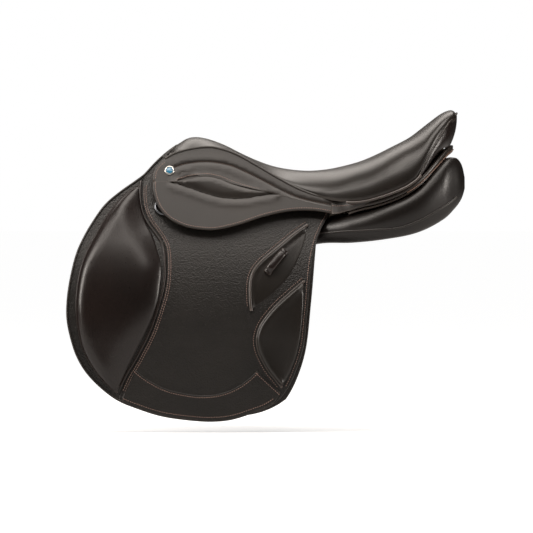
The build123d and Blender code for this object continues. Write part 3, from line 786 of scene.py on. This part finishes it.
# Strip of skirt sewn under the seat, from the nose round the nail to the tail.
band_face = relief(
    free_edge(SKIRT_FACE, np.vstack((nose, welt[:2]))), groove(skirt_seam, 1.7, 0.9),
    groove(shifted(skirt_seam, 6), 4.5, -0.7), groove(shifted(skirt_seam, -6), 4.5, -0.7),
    groove(leaf_top, 3.5, -0.9),
)
SIDE_LEATHERS = (  # piece, CAD node, body, look, outline, face, back, mesh spacing, rings and creases
    ("sweat_flap_leather", "sweat_flap", "root", (STRAP_LEATHER, "panel_leather"),
     sweat_ring, rounded(SWEAT_FACE, 1.2), SWEAT_BACK, {"spacing": 9.0}),
    ("knee_pad_leather", "knee_pad", "flap", (KNEE, "smooth_leather"),
     pad_ring, pad_face, ON_FLAP, {"spacing": 6.0, "rings": (0.6, 1.6, 3, 5, 8, 12)}),
    ("calf_block_leather", "calf_block", "flap", (SMOOTH, "smooth_leather"),
     calf_ring, calf_face, ON_FLAP, {"spacing": 5.0, "rings": (0.6, 1.5, 3, 5, 7.5, 11)}),
    ("hem_band_leather", "hem_band", "flap", (GRAINED, "flap_leather"),
     hem_ring, rounded(HEM_FACE, 1.0), ON_FLAP, {"rings": (0.5, 1.2, 3)}),
    ("keeper_leather", "keeper_patch", "flap", (SMOOTH, "smooth_leather"),
     keeper_ring, keeper_face, ON_FLAP, {"spacing": 4.0, "rings": (0.5, 1.2, 2.4, 4.0, 6.0)}),
    ("skirt_leather", "skirt", "skirt", (SKIRT_LEATHER, "smooth_leather"), skirt_ring, skirt_face,
     SKIRT_BACK, {"spacing": 6.0, "rings": (0.7, 1.8, 4.0), "creases": ((leaf_foot, 1.6),)}),
    ("skirt_leaf_leather", "skirt_leaf", "skirt", (SKIRT_LEATHER, "smooth_leather"),
     leaf_ring, leaf_face, LEAF_BACK, {"spacing": 4.0, "rings": (0.5, 1.3, 2.6)}),
    ("skirt_band_leather", "skirt_band", "root", (SKIRT_LEATHER, "smooth_leather"), band_ring, band_face,
     SKIRT_BACK, {"spacing": 6.0, "rings": (0.7, 1.8), "creases": ((skirt_seam, 1.4),)}),
)


def body_name(body, hand):
    return body if body == "root" else f"{body}_{hand}"


def make_side_leathers(hand, side):
    for name, node_name, body, look, ring, face, back, mesh in SIDE_LEATHERS:
        leather = sheet(f"{name}_{hand}", side, ring, face, back, **mesh)
        dress(leather, *look, body_name(body, hand), f"{node_name}_{hand}")


def make_cords(hand, side):
    """The welt under the seat and the piped edges of the flap and its blocks."""
    cord = piping(f"seat_welt_cord_{hand}", side, welt, 13.6, 2.3)
    dress(cord, SMOOTH, "smooth_leather", "root", f"seat_welt_{hand}")
    for name, line, depth, radius, mat, slot_name in (
        ("flap_edge_cord", shifted(front_edge[8:-6], 1.6), 0.2, 1.7, GRAINED, "flap_leather"),
        ("knee_pad_front_cord", shifted(pad_front, 0.8), 1.0, 1.7, KNEE, "smooth_leather"),
        ("knee_pad_cord", shifted(seam[6:-2], 2.6), 0.6, 1.8, KNEE, "smooth_leather"),
        # the calf block and keeper cords use the leather with a painted highlight
        ("calf_block_cord", shifted(calf_front, 1.4), 2.6, 2.1, CORD_PAINTED_HIGHLIGHT, "smooth_leather"),
        ("keeper_cord", shifted(keeper_front, 1.6), 2.0, 2.3, CORD_PAINTED_HIGHLIGHT, "smooth_leather"),
    ):
        dress(piping(f"{name}_{hand}", side, line, depth, radius), mat, slot_name, f"flap_{hand}")


def make_stitching(hand, side):
    """Thread rows: (line, depth) runs on the flap, the skirt and the band."""
    on_hem, on_skirt = HEM_FACE + 0.05, SKIRT_FACE + 0.05
    for part, body, runs in (
        ("flap", "flap", [
            (shifted(seam[4:-4], -3.4), 0.75), (shifted(seam[4:-4], -6.6), 0.95),
            (shifted(hem_top, -3.4), on_hem), (shifted(hem_side, -3.4), on_hem),
            (shifted(hem_foot, 4.5), on_hem), (shifted(rear_edge[3:-3], 4.5), ON_FLAP),
            (shifted(calf_front[:-2], -4.2), 0.2), (shifted(keeper_front[:-2], -3.6), 0.2),
        ]),
        ("skirt", "skirt", [(shifted(skirt_foot, 4.3), on_skirt)]),
        ("skirt_band", "root", [
            (shifted(skirt_seam[skirt_seam[:, 0] < SKIRT_CUT_X], 1.0), 13.9),
            (shifted(nose[2:-2], -4.3), on_skirt), (shifted(leaf_top[2:-2], 2.6), 14.9),
        ]),
    ):
        thread = stitches(f"{part}_stitching_{hand}", side, runs)
        dress(thread, THREAD, "webbing", body_name(body, hand))


for hand, side in SIDES:
    for make in (make_flap, make_side_leathers, make_cords, make_stitching):
        make(hand, side)


# ---- Small fittings on each side ----
NAIL_X, NAIL_Z = -211.0, 111.0
NAIL_RING = [  # (radius, height)
    (5.2, 0.1), (7.5, 0.1), (7.5, 0.9), (7.2, 1.7), (6.6, 2.2), (6.0, 2.3), (5.5, 2.0), (5.2, 1.4),
    (5.2, 0.1),
]
NAIL_STUD = [(0, 0.1), (5.15, 0.1), (5.15, 1.2), (4.2, 1.65), (2.8, 1.95), (1.3, 2.1), (0, 2.15)]
DEE_X, DEE_Z, DEE_DEPTH, DEE_HALF, DEE_WIRE = -219.0, 59.0, 4.2, 13.0, 2.0
CHAPE_FOLD, CHAPE_BACK = 3.3, 1.2  # radius of the fold round the ring, depth of the leaf behind it
CHAPE_SECTION = [(-6.6, -0.8), (-7.2, 0), (-6.6, 0.8)]
KEEPER_X, KEEPER_Z, KEEPER_TURN = -49.0, -28.0, math.radians(53)
KEEPER_ARCH = [(-23, 4.4), (-20, 4.6), (-17.5, 6.0), (-15, 8.3), (-12, 9.3), (-6, 9.7), (0, 9.7)]
KEEPER_SECTION = [(-5.4, -1.0), (-6.0, -0.2), (-5.2, 0.9), (-2.6, 1.8), (0, 2.1)]
AFT = np.array((1.0, 0.0, 0.0))


def mirrored(half):
    """A run of points from its first half, which ends on or before 0."""
    return half + [(-a, b) for a, b in reversed(half) if a]


def side_place(x, z, side):
    """A place on the flap's face in metres, with the directions up the side and outward there."""
    out = side_normal([(x, z)], side)[0]
    return on_side([(x, z)], 0, side)[0], np.array((0.0, -side * out[2], abs(out[1]))), out


def make_nail(hand, side):
    """Saddle nail: a plated ring round a coloured stud without a mark."""
    for name, profile, mat, slot_name, node_name in (
        ("nail_ring", NAIL_RING, PLATED, "plated_brass", "nail_rim"),
        ("nail_stud", NAIL_STUD, ENAMEL, "enamel", "nail_enamel"),
    ):
        turned = lathe(f"{name}_{hand}", profile, NAIL_X, NAIL_Z, SKIRT_FACE, side)
        dress(turned, mat, slot_name, "root", f"{node_name}_{hand}")


def make_dee_ring(hand, side):
    """Dee ring: a straight bar in its chape, and a half-round bow below it."""
    place, upward, out = side_place(DEE_X, DEE_Z, side)
    bar = [(x, 0.0) for x in np.linspace(-DEE_HALF, DEE_HALF, 12)]
    bow = [(DEE_HALF * math.cos(a), DEE_HALF * math.sin(a) - 4) for a in np.linspace(0, -math.pi, 25)]
    path = [place + (AFT * p + upward * q + out * DEE_DEPTH) * MM for p, q in bar + bow]
    dee = swept(f"dee_ring_wire_{hand}", path, round_section(DEE_WIRE, 12), closed=True)
    dress(dee, DARK_METAL, "plated_brass", f"dee_ring_{hand}", f"dee_ring_{hand}")


def make_dee_chape(hand, side):
    """The strap that folds round the dee ring's bar: (distance up the side, depth) from back to front."""
    place, upward, out = side_place(DEE_X, DEE_Z, side)
    back_leaf = [(y, CHAPE_BACK) for y in np.linspace(17, 1, 6)]
    fold_round = [
        (-CHAPE_FOLD * math.cos(a), DEE_DEPTH + CHAPE_FOLD * math.sin(a))
        for a in np.linspace(-math.pi / 2, math.pi / 2, 9)
    ]
    front_leaf = [(y, DEE_DEPTH + CHAPE_FOLD - 0.06 * y) for y in np.linspace(1, 15, 6)]
    spine = np.array([place + (upward * y + out * h) * MM for y, h in back_leaf + fold_round + front_leaf])
    up = np.cross(tangents(spine), AFT)
    chape = swept(f"dee_chape_leather_{hand}", spine, mirrored(CHAPE_SECTION), up=up)
    dress(chape, STRAP_LEATHER, "strap_leather", f"flap_{hand}", f"dee_chape_{hand}")


def make_keeper_loop(hand, side):
    """Keeper loop: a strap whose ends dive into slots in the keeper patch."""
    place, upward, out = side_place(KEEPER_X, KEEPER_Z, side)
    way = AFT * math.cos(KEEPER_TURN) + upward * math.sin(KEEPER_TURN)
    spine = np.array([place + (way * a + out * h) * MM for a, h in smooth(mirrored(KEEPER_ARCH), 1.2)])
    up = np.cross(np.cross(way, out), tangents(spine))
    loop = swept(f"keeper_loop_strap_{hand}", spine, mirrored(KEEPER_SECTION), up=up)
    dress(loop, KNEE, "strap_leather", f"flap_{hand}", f"keeper_loop_{hand}")


for hand, side in SIDES:
    for make in (make_nail, make_dee_ring, make_dee_chape, make_keeper_loop):
        make(hand, side)


# ---- Seat ----
SEAT_TOP = [
    (-209, 143), (-203, 148.5), (-196, 153), (-184, 160), (-171, 162), (-153, 159), (-128, 150), (-104, 138),
    (-80, 127), (-55, 118), (-31, 113), (0, 110.5), (31, 113), (55, 118), (80, 125), (104, 135), (128, 147),
    (153, 160), (165, 168.5), (177, 178), (190, 188), (200, 195.5), (209, 200.5), (217, 203), (222, 202),
    (225, 198.5),
]
SEAT_EDGE = [
    (-209, 131.5), (-200, 138.5), (-177, 145.5), (-151, 148), (-136, 146), (-113, 139), (-81, 122.5),
    (-49, 103), (-17, 86), (15, 74), (47, 67.5), (80, 67), (112, 75), (144, 87), (160, 97), (171, 111),
    (184, 137), (200, 163), (214, 181), (225, 192),
]
SEAT_HALF = [
    (-209, 44), (-203, 54), (-190, 62), (-180, 65.5), (-140, 67), (-90, 76), (-40, 88), (0, 97.5), (20, 104),
    (50, 117), (80, 127), (110, 134), (140, 136), (160, 131), (175, 124), (190, 113), (205, 96), (216, 78),
    (225, 60),
]
# How the crown across the seat changes along it: places, then values.
SEAT_FULLNESS = (-209, -170, -60, 60, 160, 222), (2.2, 2.4, 3.0, 3.2, 3.0, 2.4)
SEAT_ROUNDNESS = (-209, -110, -30, 60, 222), (1.0, 1.0, 1.7, 2.4, 2.4)
SEAT_FLARE = (-209, -170, -110, -40, 20, 70, 120), (0.0, 0.15, 0.55, 0.55, 0.3, 0.1, 0.0)
SEAT_FRONT, SEAT_ACROSS, SEAT_THICK = -209.0, 61, 3.0
UP = np.array((0.0, 0.0, 1.0))
seat_top, seat_edge, seat_half = curve(SEAT_TOP), curve(SEAT_EDGE), curve(SEAT_HALF)


def seat_section(x, count):
    """Points (x, y, z) across the seat's cover at a station, from the near edge to the off edge."""
    s = np.sin(np.linspace(-1, 1, count) * math.pi / 2)
    fullness, roundness = np.interp(x, *SEAT_FULLNESS), np.interp(x, *SEAT_ROUNDNESS)
    flare = np.interp(x, *SEAT_FLARE)
    bell = 0.5 + 0.5 * np.cos(math.pi * np.abs(s) ** 1.25)
    crown = (1 - flare) * (1 - np.abs(s) ** fullness) ** (1 / roundness) + flare * bell
    height = seat_edge(x) + (seat_top(x) - seat_edge(x)) * crown
    return np.column_stack((np.full(count, x), seat_half(x) * s, height))


stations = np.concatenate((np.linspace(-209, -190, 8), np.linspace(-186, 200, 80), np.linspace(203, 225, 12)))
cover = np.array([seat_section(x, SEAT_ACROSS) for x in stations])
seat = grid_sheet("seat_leather", cover, cover * (1, 0.985, 1) - SEAT_THICK * UP, 60)
dress(seat, SMOOTH, "smooth_leather", "root", "seat_cover", "seat_foam")


# ---- Cantle: back facing, layered rim ----
CANTLE_TOP = [
    (168, -128.5, 103), (176, -123.5, 120), (184, -118, 137), (192, -110.5, 151), (200, -102, 163),
    (213.5, -82, 184), (222, -60, 191.5), (226, -32, 197), (227, 0, 198.5),
]
CANTLE_FOOT = [
    (168, -127, 99), (177, -121, 111), (186, -113.5, 124), (194, -106, 135), (203, -95, 144),
    (210, -80, 146), (214, -56, 147), (215.5, -28, 147.5), (216, 0, 147),
]
CANTLE_THICK, CANTLE_BULGE, CANTLE_BULGE_SHARE = 1.8, 4.0, 0.14
RIM = [
    (62, -113, 52), (80, -122, 58), (98, -128, 62), (115, -131, 67), (140, -132, 77), (160, -128.5, 89),
    (176, -120, 103), (190, -109, 118), (200, -97, 129), (209, -82, 139), (215, -58, 144), (218, -28, 146),
    (219, 0, 146.5),
]
RIM_DROP, RIM_SEWN_FROM = 3.9, 0.15  # the tan edge below the rim's top strip, and where its stitches start


def both_sides(points, count):
    """A smooth path from the near side round the back to the off side, from the near half ending at y 0."""
    near = np.array(points, float)
    return resampled(smooth(np.vstack((near, near[:-1][::-1] * (1, -1, 1))), 3), count)


def make_cantle_facing():
    """The facing behind the cantle, bulged a little, and the cord along its top seam."""
    top, foot = both_sides(CANTLE_TOP, 101), both_sides(CANTLE_FOOT, 101)
    outward = unit(np.cross(np.gradient(top + foot, axis=0), UP))
    bulge = np.minimum(CANTLE_BULGE, CANTLE_BULGE_SHARE * np.linalg.norm(top - foot, axis=1))[:, None]
    outer = np.array([
        top * (1 - t) + foot * t + outward * bulge * np.sin(math.pi * t) ** 0.8 for t in np.linspace(0, 1, 12)
    ])
    facing = grid_sheet("cantle_facing_leather", outer, outer - outward * CANTLE_THICK)
    dress(facing, KNEE, "smooth_leather", "root", "cantle_facing")
    cord = swept("cantle_seam_cord", (top + outward * 0.3) * MM, round_section(1.3, 8))
    dress(cord, SMOOTH, "smooth_leather", "root")


def rim_strip(name, run, drop, half_height, half_width, inward, mat, *replaced):
    """One layer of the strip under the cantle, some way below the rim's path and shifted inward."""
    near, far = inward - half_width, inward + half_width
    near_corner, far_corner = inward - 0.7 * half_width, inward + 0.7 * half_width
    section = [
        (near, -0.7 * half_height), (near_corner, -half_height), (far_corner, -half_height),
        (far, -0.6 * half_height), (far, 0.6 * half_height), (far_corner, half_height),
        (near_corner, half_height), (near, 0.7 * half_height),
    ]
    strip = swept(name, run - drop * MM * UP, section, up=UP)
    dress(strip, mat, "smooth_leather", "root", *replaced)


def make_rim():
    """Three layers with a tan edge and a stitch row round the back."""
    path = both_sides(RIM, 141) * MM
    outward = unit(np.cross(np.gradient(path, axis=0), UP))
    rim_strip("cantle_rim_strip", path, 0.0, 3.0, 2.6, 0.0, SMOOTH, "cantle_rim")
    rim_strip("cantle_rim_edge", path[path[:, 0] > 0.147], RIM_DROP, 0.9, 2.6, -0.9, CUT_EDGE)
    rim_strip("cantle_rim_lower_strip", path, 6.2, 1.5, 2.2, 0.4, SMOOTH)
    sewn = path[:, 0] > RIM_SEWN_FROM
    row = path + (outward * 3.5 - RIM_DROP * UP) * MM
    thread = stitch_row("cantle_rim_stitching", [(row[sewn], outward[sewn])])
    dress(thread, THREAD, "webbing", "root")


# ---- Pommel: arched facing and cord ----
POMMEL_DROP, POMMEL_NARROWING, POMMEL_BULGE = 25, 0.80, 3.0


def make_pommel():
    arch = seat_section(SEAT_FRONT, 49) - (0.5, 0, 1.2)
    foot = arch * (1, POMMEL_NARROWING, 1) - POMMEL_DROP * UP
    outer = np.array([
        arch * (1 - t) + foot * t - POMMEL_BULGE * math.sin(math.pi * t * 0.9) * AFT
        for t in np.linspace(0, 1, 8)
    ])
    outer[-1] += 2 * AFT
    facing = grid_sheet("pommel_facing_leather", outer, outer + 2 * AFT)
    dress(facing, SMOOTH, "smooth_leather", "root", "pommel_facing")
    cord = swept("pommel_cord", (arch + (-0.6, 0, 0.4)) * MM, round_section(1.7))
    dress(cord, SMOOTH, "smooth_leather", "root")


make_cantle_facing()
make_rim()
make_pommel()


# ---- Panels: stuffed cushions either side of the channel ----
PANEL = [  # station, then (half width, height) round the section
    (-188, ((34, 62), (50, 64), (80, 0), (92, -34), (84, -40), (60, 0))),
    (-184, ((30, 66), (52, 69), (83, 0), (97, -38), (84, -44), (56, 0))),
    (-110, ((32, 60), (56, 62), (82, 4), (95, -30), (80, -37), (54, 8))),
    (-40, ((34, 54), (58, 56), (86, 8), (92, -10), (74, -14), (48, 18))),
    (15, ((35, 41), (78, 41), (96, 22), (94, 3), (72, 0), (41, 18))),
    (65, ((36, 46), (112, 43), (124, 25), (112, 3), (74, 7), (40, 26))),
    (115, ((38, 55), (132, 56), (141, 33), (127, 8), (78, 17), (42, 34))),
    (165, ((40, 78), (130, 80), (139, 54), (124, 18), (78, 30), (44, 52))),
    (205, ((41, 108), (101, 124), (121, 90), (107, 38), (76, 46), (46, 72))),
    (224, ((44, 119), (85, 129), (102, 96), (93, 56), (70, 62), (48, 86))),
    (234, ((50, 112), (74, 118), (88, 96), (82, 71), (66, 74), (53, 90))),
    (238, ((58, 99), (66, 101), (74, 92), (72, 84), (65, 84), (60, 91))),
]
GUSSET = [
    (4, 12), (21, 14), (58, 17), (110, 20), (138, 24), (164, 33), (190, 46), (216, 61), (230, 75), (235, 82),
]
TAIL_FOOT = [(35, 45.5), (44, 46), (58, 49.5), (80, 58), (100, 66.5), (112, 72)]
TAIL_THICK, TAIL_TURN = 3.4, 45  # the tail turns from the side's plane to the seat's edge over this length
EDGE_TOP = [(58, 63), (80, 63.5), (112, 71.5), (144, 84), (156, 91), (165, 98), (170, 104)]
panel_x = np.array([station for station, ring in PANEL], float)
panel_knots = np.array([ring for station, ring in PANEL], float)
gusset, edge_top, tail_foot, welt_height = curve(GUSSET), curve(EDGE_TOP), curve(TAIL_FOOT), curve(WELT)


def rounded_ring(knots):
    """A closed smooth curve through a few knots in the plane, with its first point repeated at the end."""
    n, run = len(knots), []
    u = np.linspace(0, 1, 12, endpoint=False)[:, None]
    for i in range(n):
        p0, p1, p2, p3 = knots[i - 1], knots[i], knots[(i + 1) % n], knots[(i + 2) % n]
        a, b, c = (max(np.linalg.norm(q - p), 1e-6) ** 0.5 for p, q in ((p0, p1), (p1, p2), (p2, p3)))
        start = ((p1 - p0) / a - (p2 - p0) / (a + b) + (p2 - p1) / b) * b
        end = ((p2 - p1) / b - (p3 - p1) / (b + c) + (p3 - p2) / c) * b
        run.append(hermite(u, p1, start, p2, end))
    return np.vstack(run + [run[0][:1]])


def panel_ring(x, count=56):
    """The section of the near panel at a station, as (half width, z) round the ring."""
    last = len(panel_x) - 1
    k = int(np.clip(np.searchsorted(panel_x, x) - 1, 0, last - 1))
    before, after = max(k - 1, 0), min(k + 2, last)
    h = panel_x[k + 1] - panel_x[k]
    start = (panel_knots[k + 1] - panel_knots[before]) / (panel_x[k + 1] - panel_x[before]) * h
    end = (panel_knots[after] - panel_knots[k]) / (panel_x[after] - panel_x[k]) * h
    knots = hermite((x - panel_x[k]) / h, panel_knots[k], start, panel_knots[k + 1], end)
    return resampled(rounded_ring(knots), count + 1)[:-1]


def make_panel(hand, side):
    rings = np.array([np.column_stack((np.full(len(ring), x), ring * (side, 1))) for x, ring in panel_rings])
    panel = tube(f"panel_leather_{hand}", rings * MM, smooth_angle=60)
    dress(panel, PANEL_LEATHER, "panel_leather", "root", f"panel_{hand}")


def make_panel_cord(hand, side):
    """Cord along the gusset, laid on the widest place of the panel at its height."""
    path = []
    for x in np.linspace(4, 235, 90)[::5]:
        ring = panel_ring(x, 240)
        flank = ring[ring[:, 0] > np.interp(x, (0, 238), (72, 66))]
        nearest = flank[np.argsort(np.abs(flank[:, 1] - gusset(x)))[:6]]
        half, height = nearest[np.argmax(nearest[:, 0])]
        path.append((x, side * (half + 0.3), height))
    cord = swept(f"panel_cord_{hand}", resampled(smooth(path, 3), 90) * MM, round_section(1.7))
    dress(cord, PANEL_LEATHER, "panel_leather", "root")


def make_skirt_tail(hand, side):
    """Tail of the skirt that follows the seat's edge back to the rim, with its cord and stitch row."""
    x = np.linspace(SKIRT_CUT_X + 0.3, 111.5, 32)
    turn = np.clip((x - SKIRT_CUT_X) / TAIL_TURN, 0, 1)
    turn = turn * turn * (3 - 2 * turn)
    rows = []
    for share in np.linspace(0, 1, 7):
        z = welt_height(x) * (1 - share) + tail_foot(x) * share
        half = side_y(z, SKIRT_FACE) * (1 - turn) + (seat_half(x) + 1.0 - 2.0 * share) * turn
        rows.append(np.column_stack((x, side * half, z)))
    tail = np.array(rows)
    leaf = grid_sheet(f"skirt_tail_{hand}", tail, tail - (0, side * TAIL_THICK, 0))
    dress(leaf, SKIRT_LEATHER, "smooth_leather", "root")

    x = np.linspace(58, 170, 60)
    edge = np.column_stack((x, side * (seat_half(x) + 1.2), edge_top(x)))
    cord = swept(f"seat_edge_cord_{hand}", edge * MM, round_section(2.2))
    # The seat's edge cord uses the leather with a painted highlight.
    dress(cord, CORD_PAINTED_HIGHLIGHT, "smooth_leather", "root")

    row = resampled(tail[3] * 0.55 + tail[2] * 0.45, 60)
    out = np.broadcast_to((0.0, side * 0.92, 0.39), row.shape)
    thread = stitch_row(f"skirt_tail_stitching_{hand}", [((row + out * 0.1) * MM, out)])
    dress(thread, THREAD, "webbing", "root")


panel_stations = np.concatenate(
    (np.linspace(-188, -180, 4), np.linspace(-172, 196, 58), np.linspace(201, 238, 16))
)
panel_rings = [(x, panel_ring(x)) for x in panel_stations]
for hand, side in SIDES:
    for make in (make_panel, make_panel_cord, make_skirt_tail):
        make(hand, side)


# ---- Floor, light and camera ----
FLOOR_Z = -0.2855
FLOOR_CORNERS = ((-9, -5, FLOOR_Z), (9, -5, FLOOR_Z), (9, 30, FLOOR_Z), (-9, 30, FLOOR_Z))
CENTRE = Vector((-0.0635, 0.0, -0.036))
LIGHT_COLOUR = (1.0, 0.93, 0.865)
LIGHTS = (  # name, place, width, height, power
    ("top_box", (0.1, -0.25, 1.9), 2.3, 1.3, 46),
    ("upper_front_box", (-0.45, -1.4, 1.8), 3.0, 0.5, 23),
    ("upper_left_box", (-1.7, -0.7, 1.5), 0.9, 0.8, 13),
    ("left_box", (-2.5, -0.75, 0.9), 0.6, 1.3, 38),
    ("right_box", (2.3, -0.7, 0.45), 0.6, 1.0, 30),
    ("back_box", (-0.5, 1.7, 1.5), 2.4, 0.9, 20),
)
DISTANCE, ELEVATION, VIEW_WIDTH, SENSOR = 14.0, math.radians(0.8), 0.815, 36


def make_floor():
    """A pale floor that glows toward the horizon for the camera alone."""
    floor = new_mesh("floor", FLOOR_CORNERS, [(0, 1, 2, 3)])
    mat, tree, shader, _ = new_material("pale_floor")
    place = add(tree, "NewGeometry").outputs["Position"]
    reach = add(tree, "VectorMath", {0: place}, operation="LENGTH").outputs["Value"]
    glow = add(
        tree, "MapRange", {"From Min": 0.3, "From Max": 3.0, "To Min": 0.62, "To Max": 0.97, "Value": reach}
    )
    seen = add(tree, "LightPath").outputs["Is Camera Ray"]
    shown = add(tree, "Math", {0: glow.outputs["Result"], 1: seen}, operation="MULTIPLY")
    feed(tree, shader, {
        "Base Color": (0.55, 0.55, 0.55, 1), "Roughness": 0.9, "Emission Color": (1, 1, 1, 1),
        "Emission Strength": shown.outputs[0],
    })
    floor.data.materials.append(mat)


def make_world():
    """White behind everything for the camera, a dim warm fill for the surfaces."""
    world = bpy.data.worlds.new("studio")
    bpy.context.scene.world = world
    world.use_nodes = True
    tree = world.node_tree
    tree.nodes.clear()
    seen = add(tree, "Background", {"Color": (1, 1, 1, 1), "Strength": 1.0})
    lit = add(tree, "Background", {"Color": (1, 0.96, 0.90, 1), "Strength": 0.035})
    mix = add(tree, "MixShader", {
        "Fac": add(tree, "LightPath").outputs["Is Camera Ray"], 1: lit.outputs[0], 2: seen.outputs[0],
    })
    add(tree, "OutputWorld", {"Surface": mix.outputs[0]})


def aimed(name, data, place):
    """A light or camera that looks at the centre of the picture."""
    obj = bpy.data.objects.new(name, data)
    obj.location = place
    obj.rotation_euler = (CENTRE - Vector(place)).to_track_quat("-Z", "Y").to_euler()
    bpy.context.scene.collection.objects.link(obj)
    return obj


def make_lights():
    for name, place, width, height, power in LIGHTS:
        light = bpy.data.lights.new(name, "AREA")
        light.shape = "RECTANGLE"
        light.size, light.size_y = width, height
        light.energy, light.color = power, LIGHT_COLOUR
        aimed(name, light, place)


def make_camera():
    data = bpy.data.cameras.new("camera")
    data.sensor_width, data.clip_end = SENSOR, 100
    data.lens = SENSOR * DISTANCE / VIEW_WIDTH
    away = Vector((0, -math.cos(ELEVATION), math.sin(ELEVATION)))
    bpy.context.scene.camera = aimed("camera", data, CENTRE + DISTANCE * away)


make_floor()
make_world()
make_lights()
make_camera()
bpy.context.scene.view_settings.view_transform = "Standard"
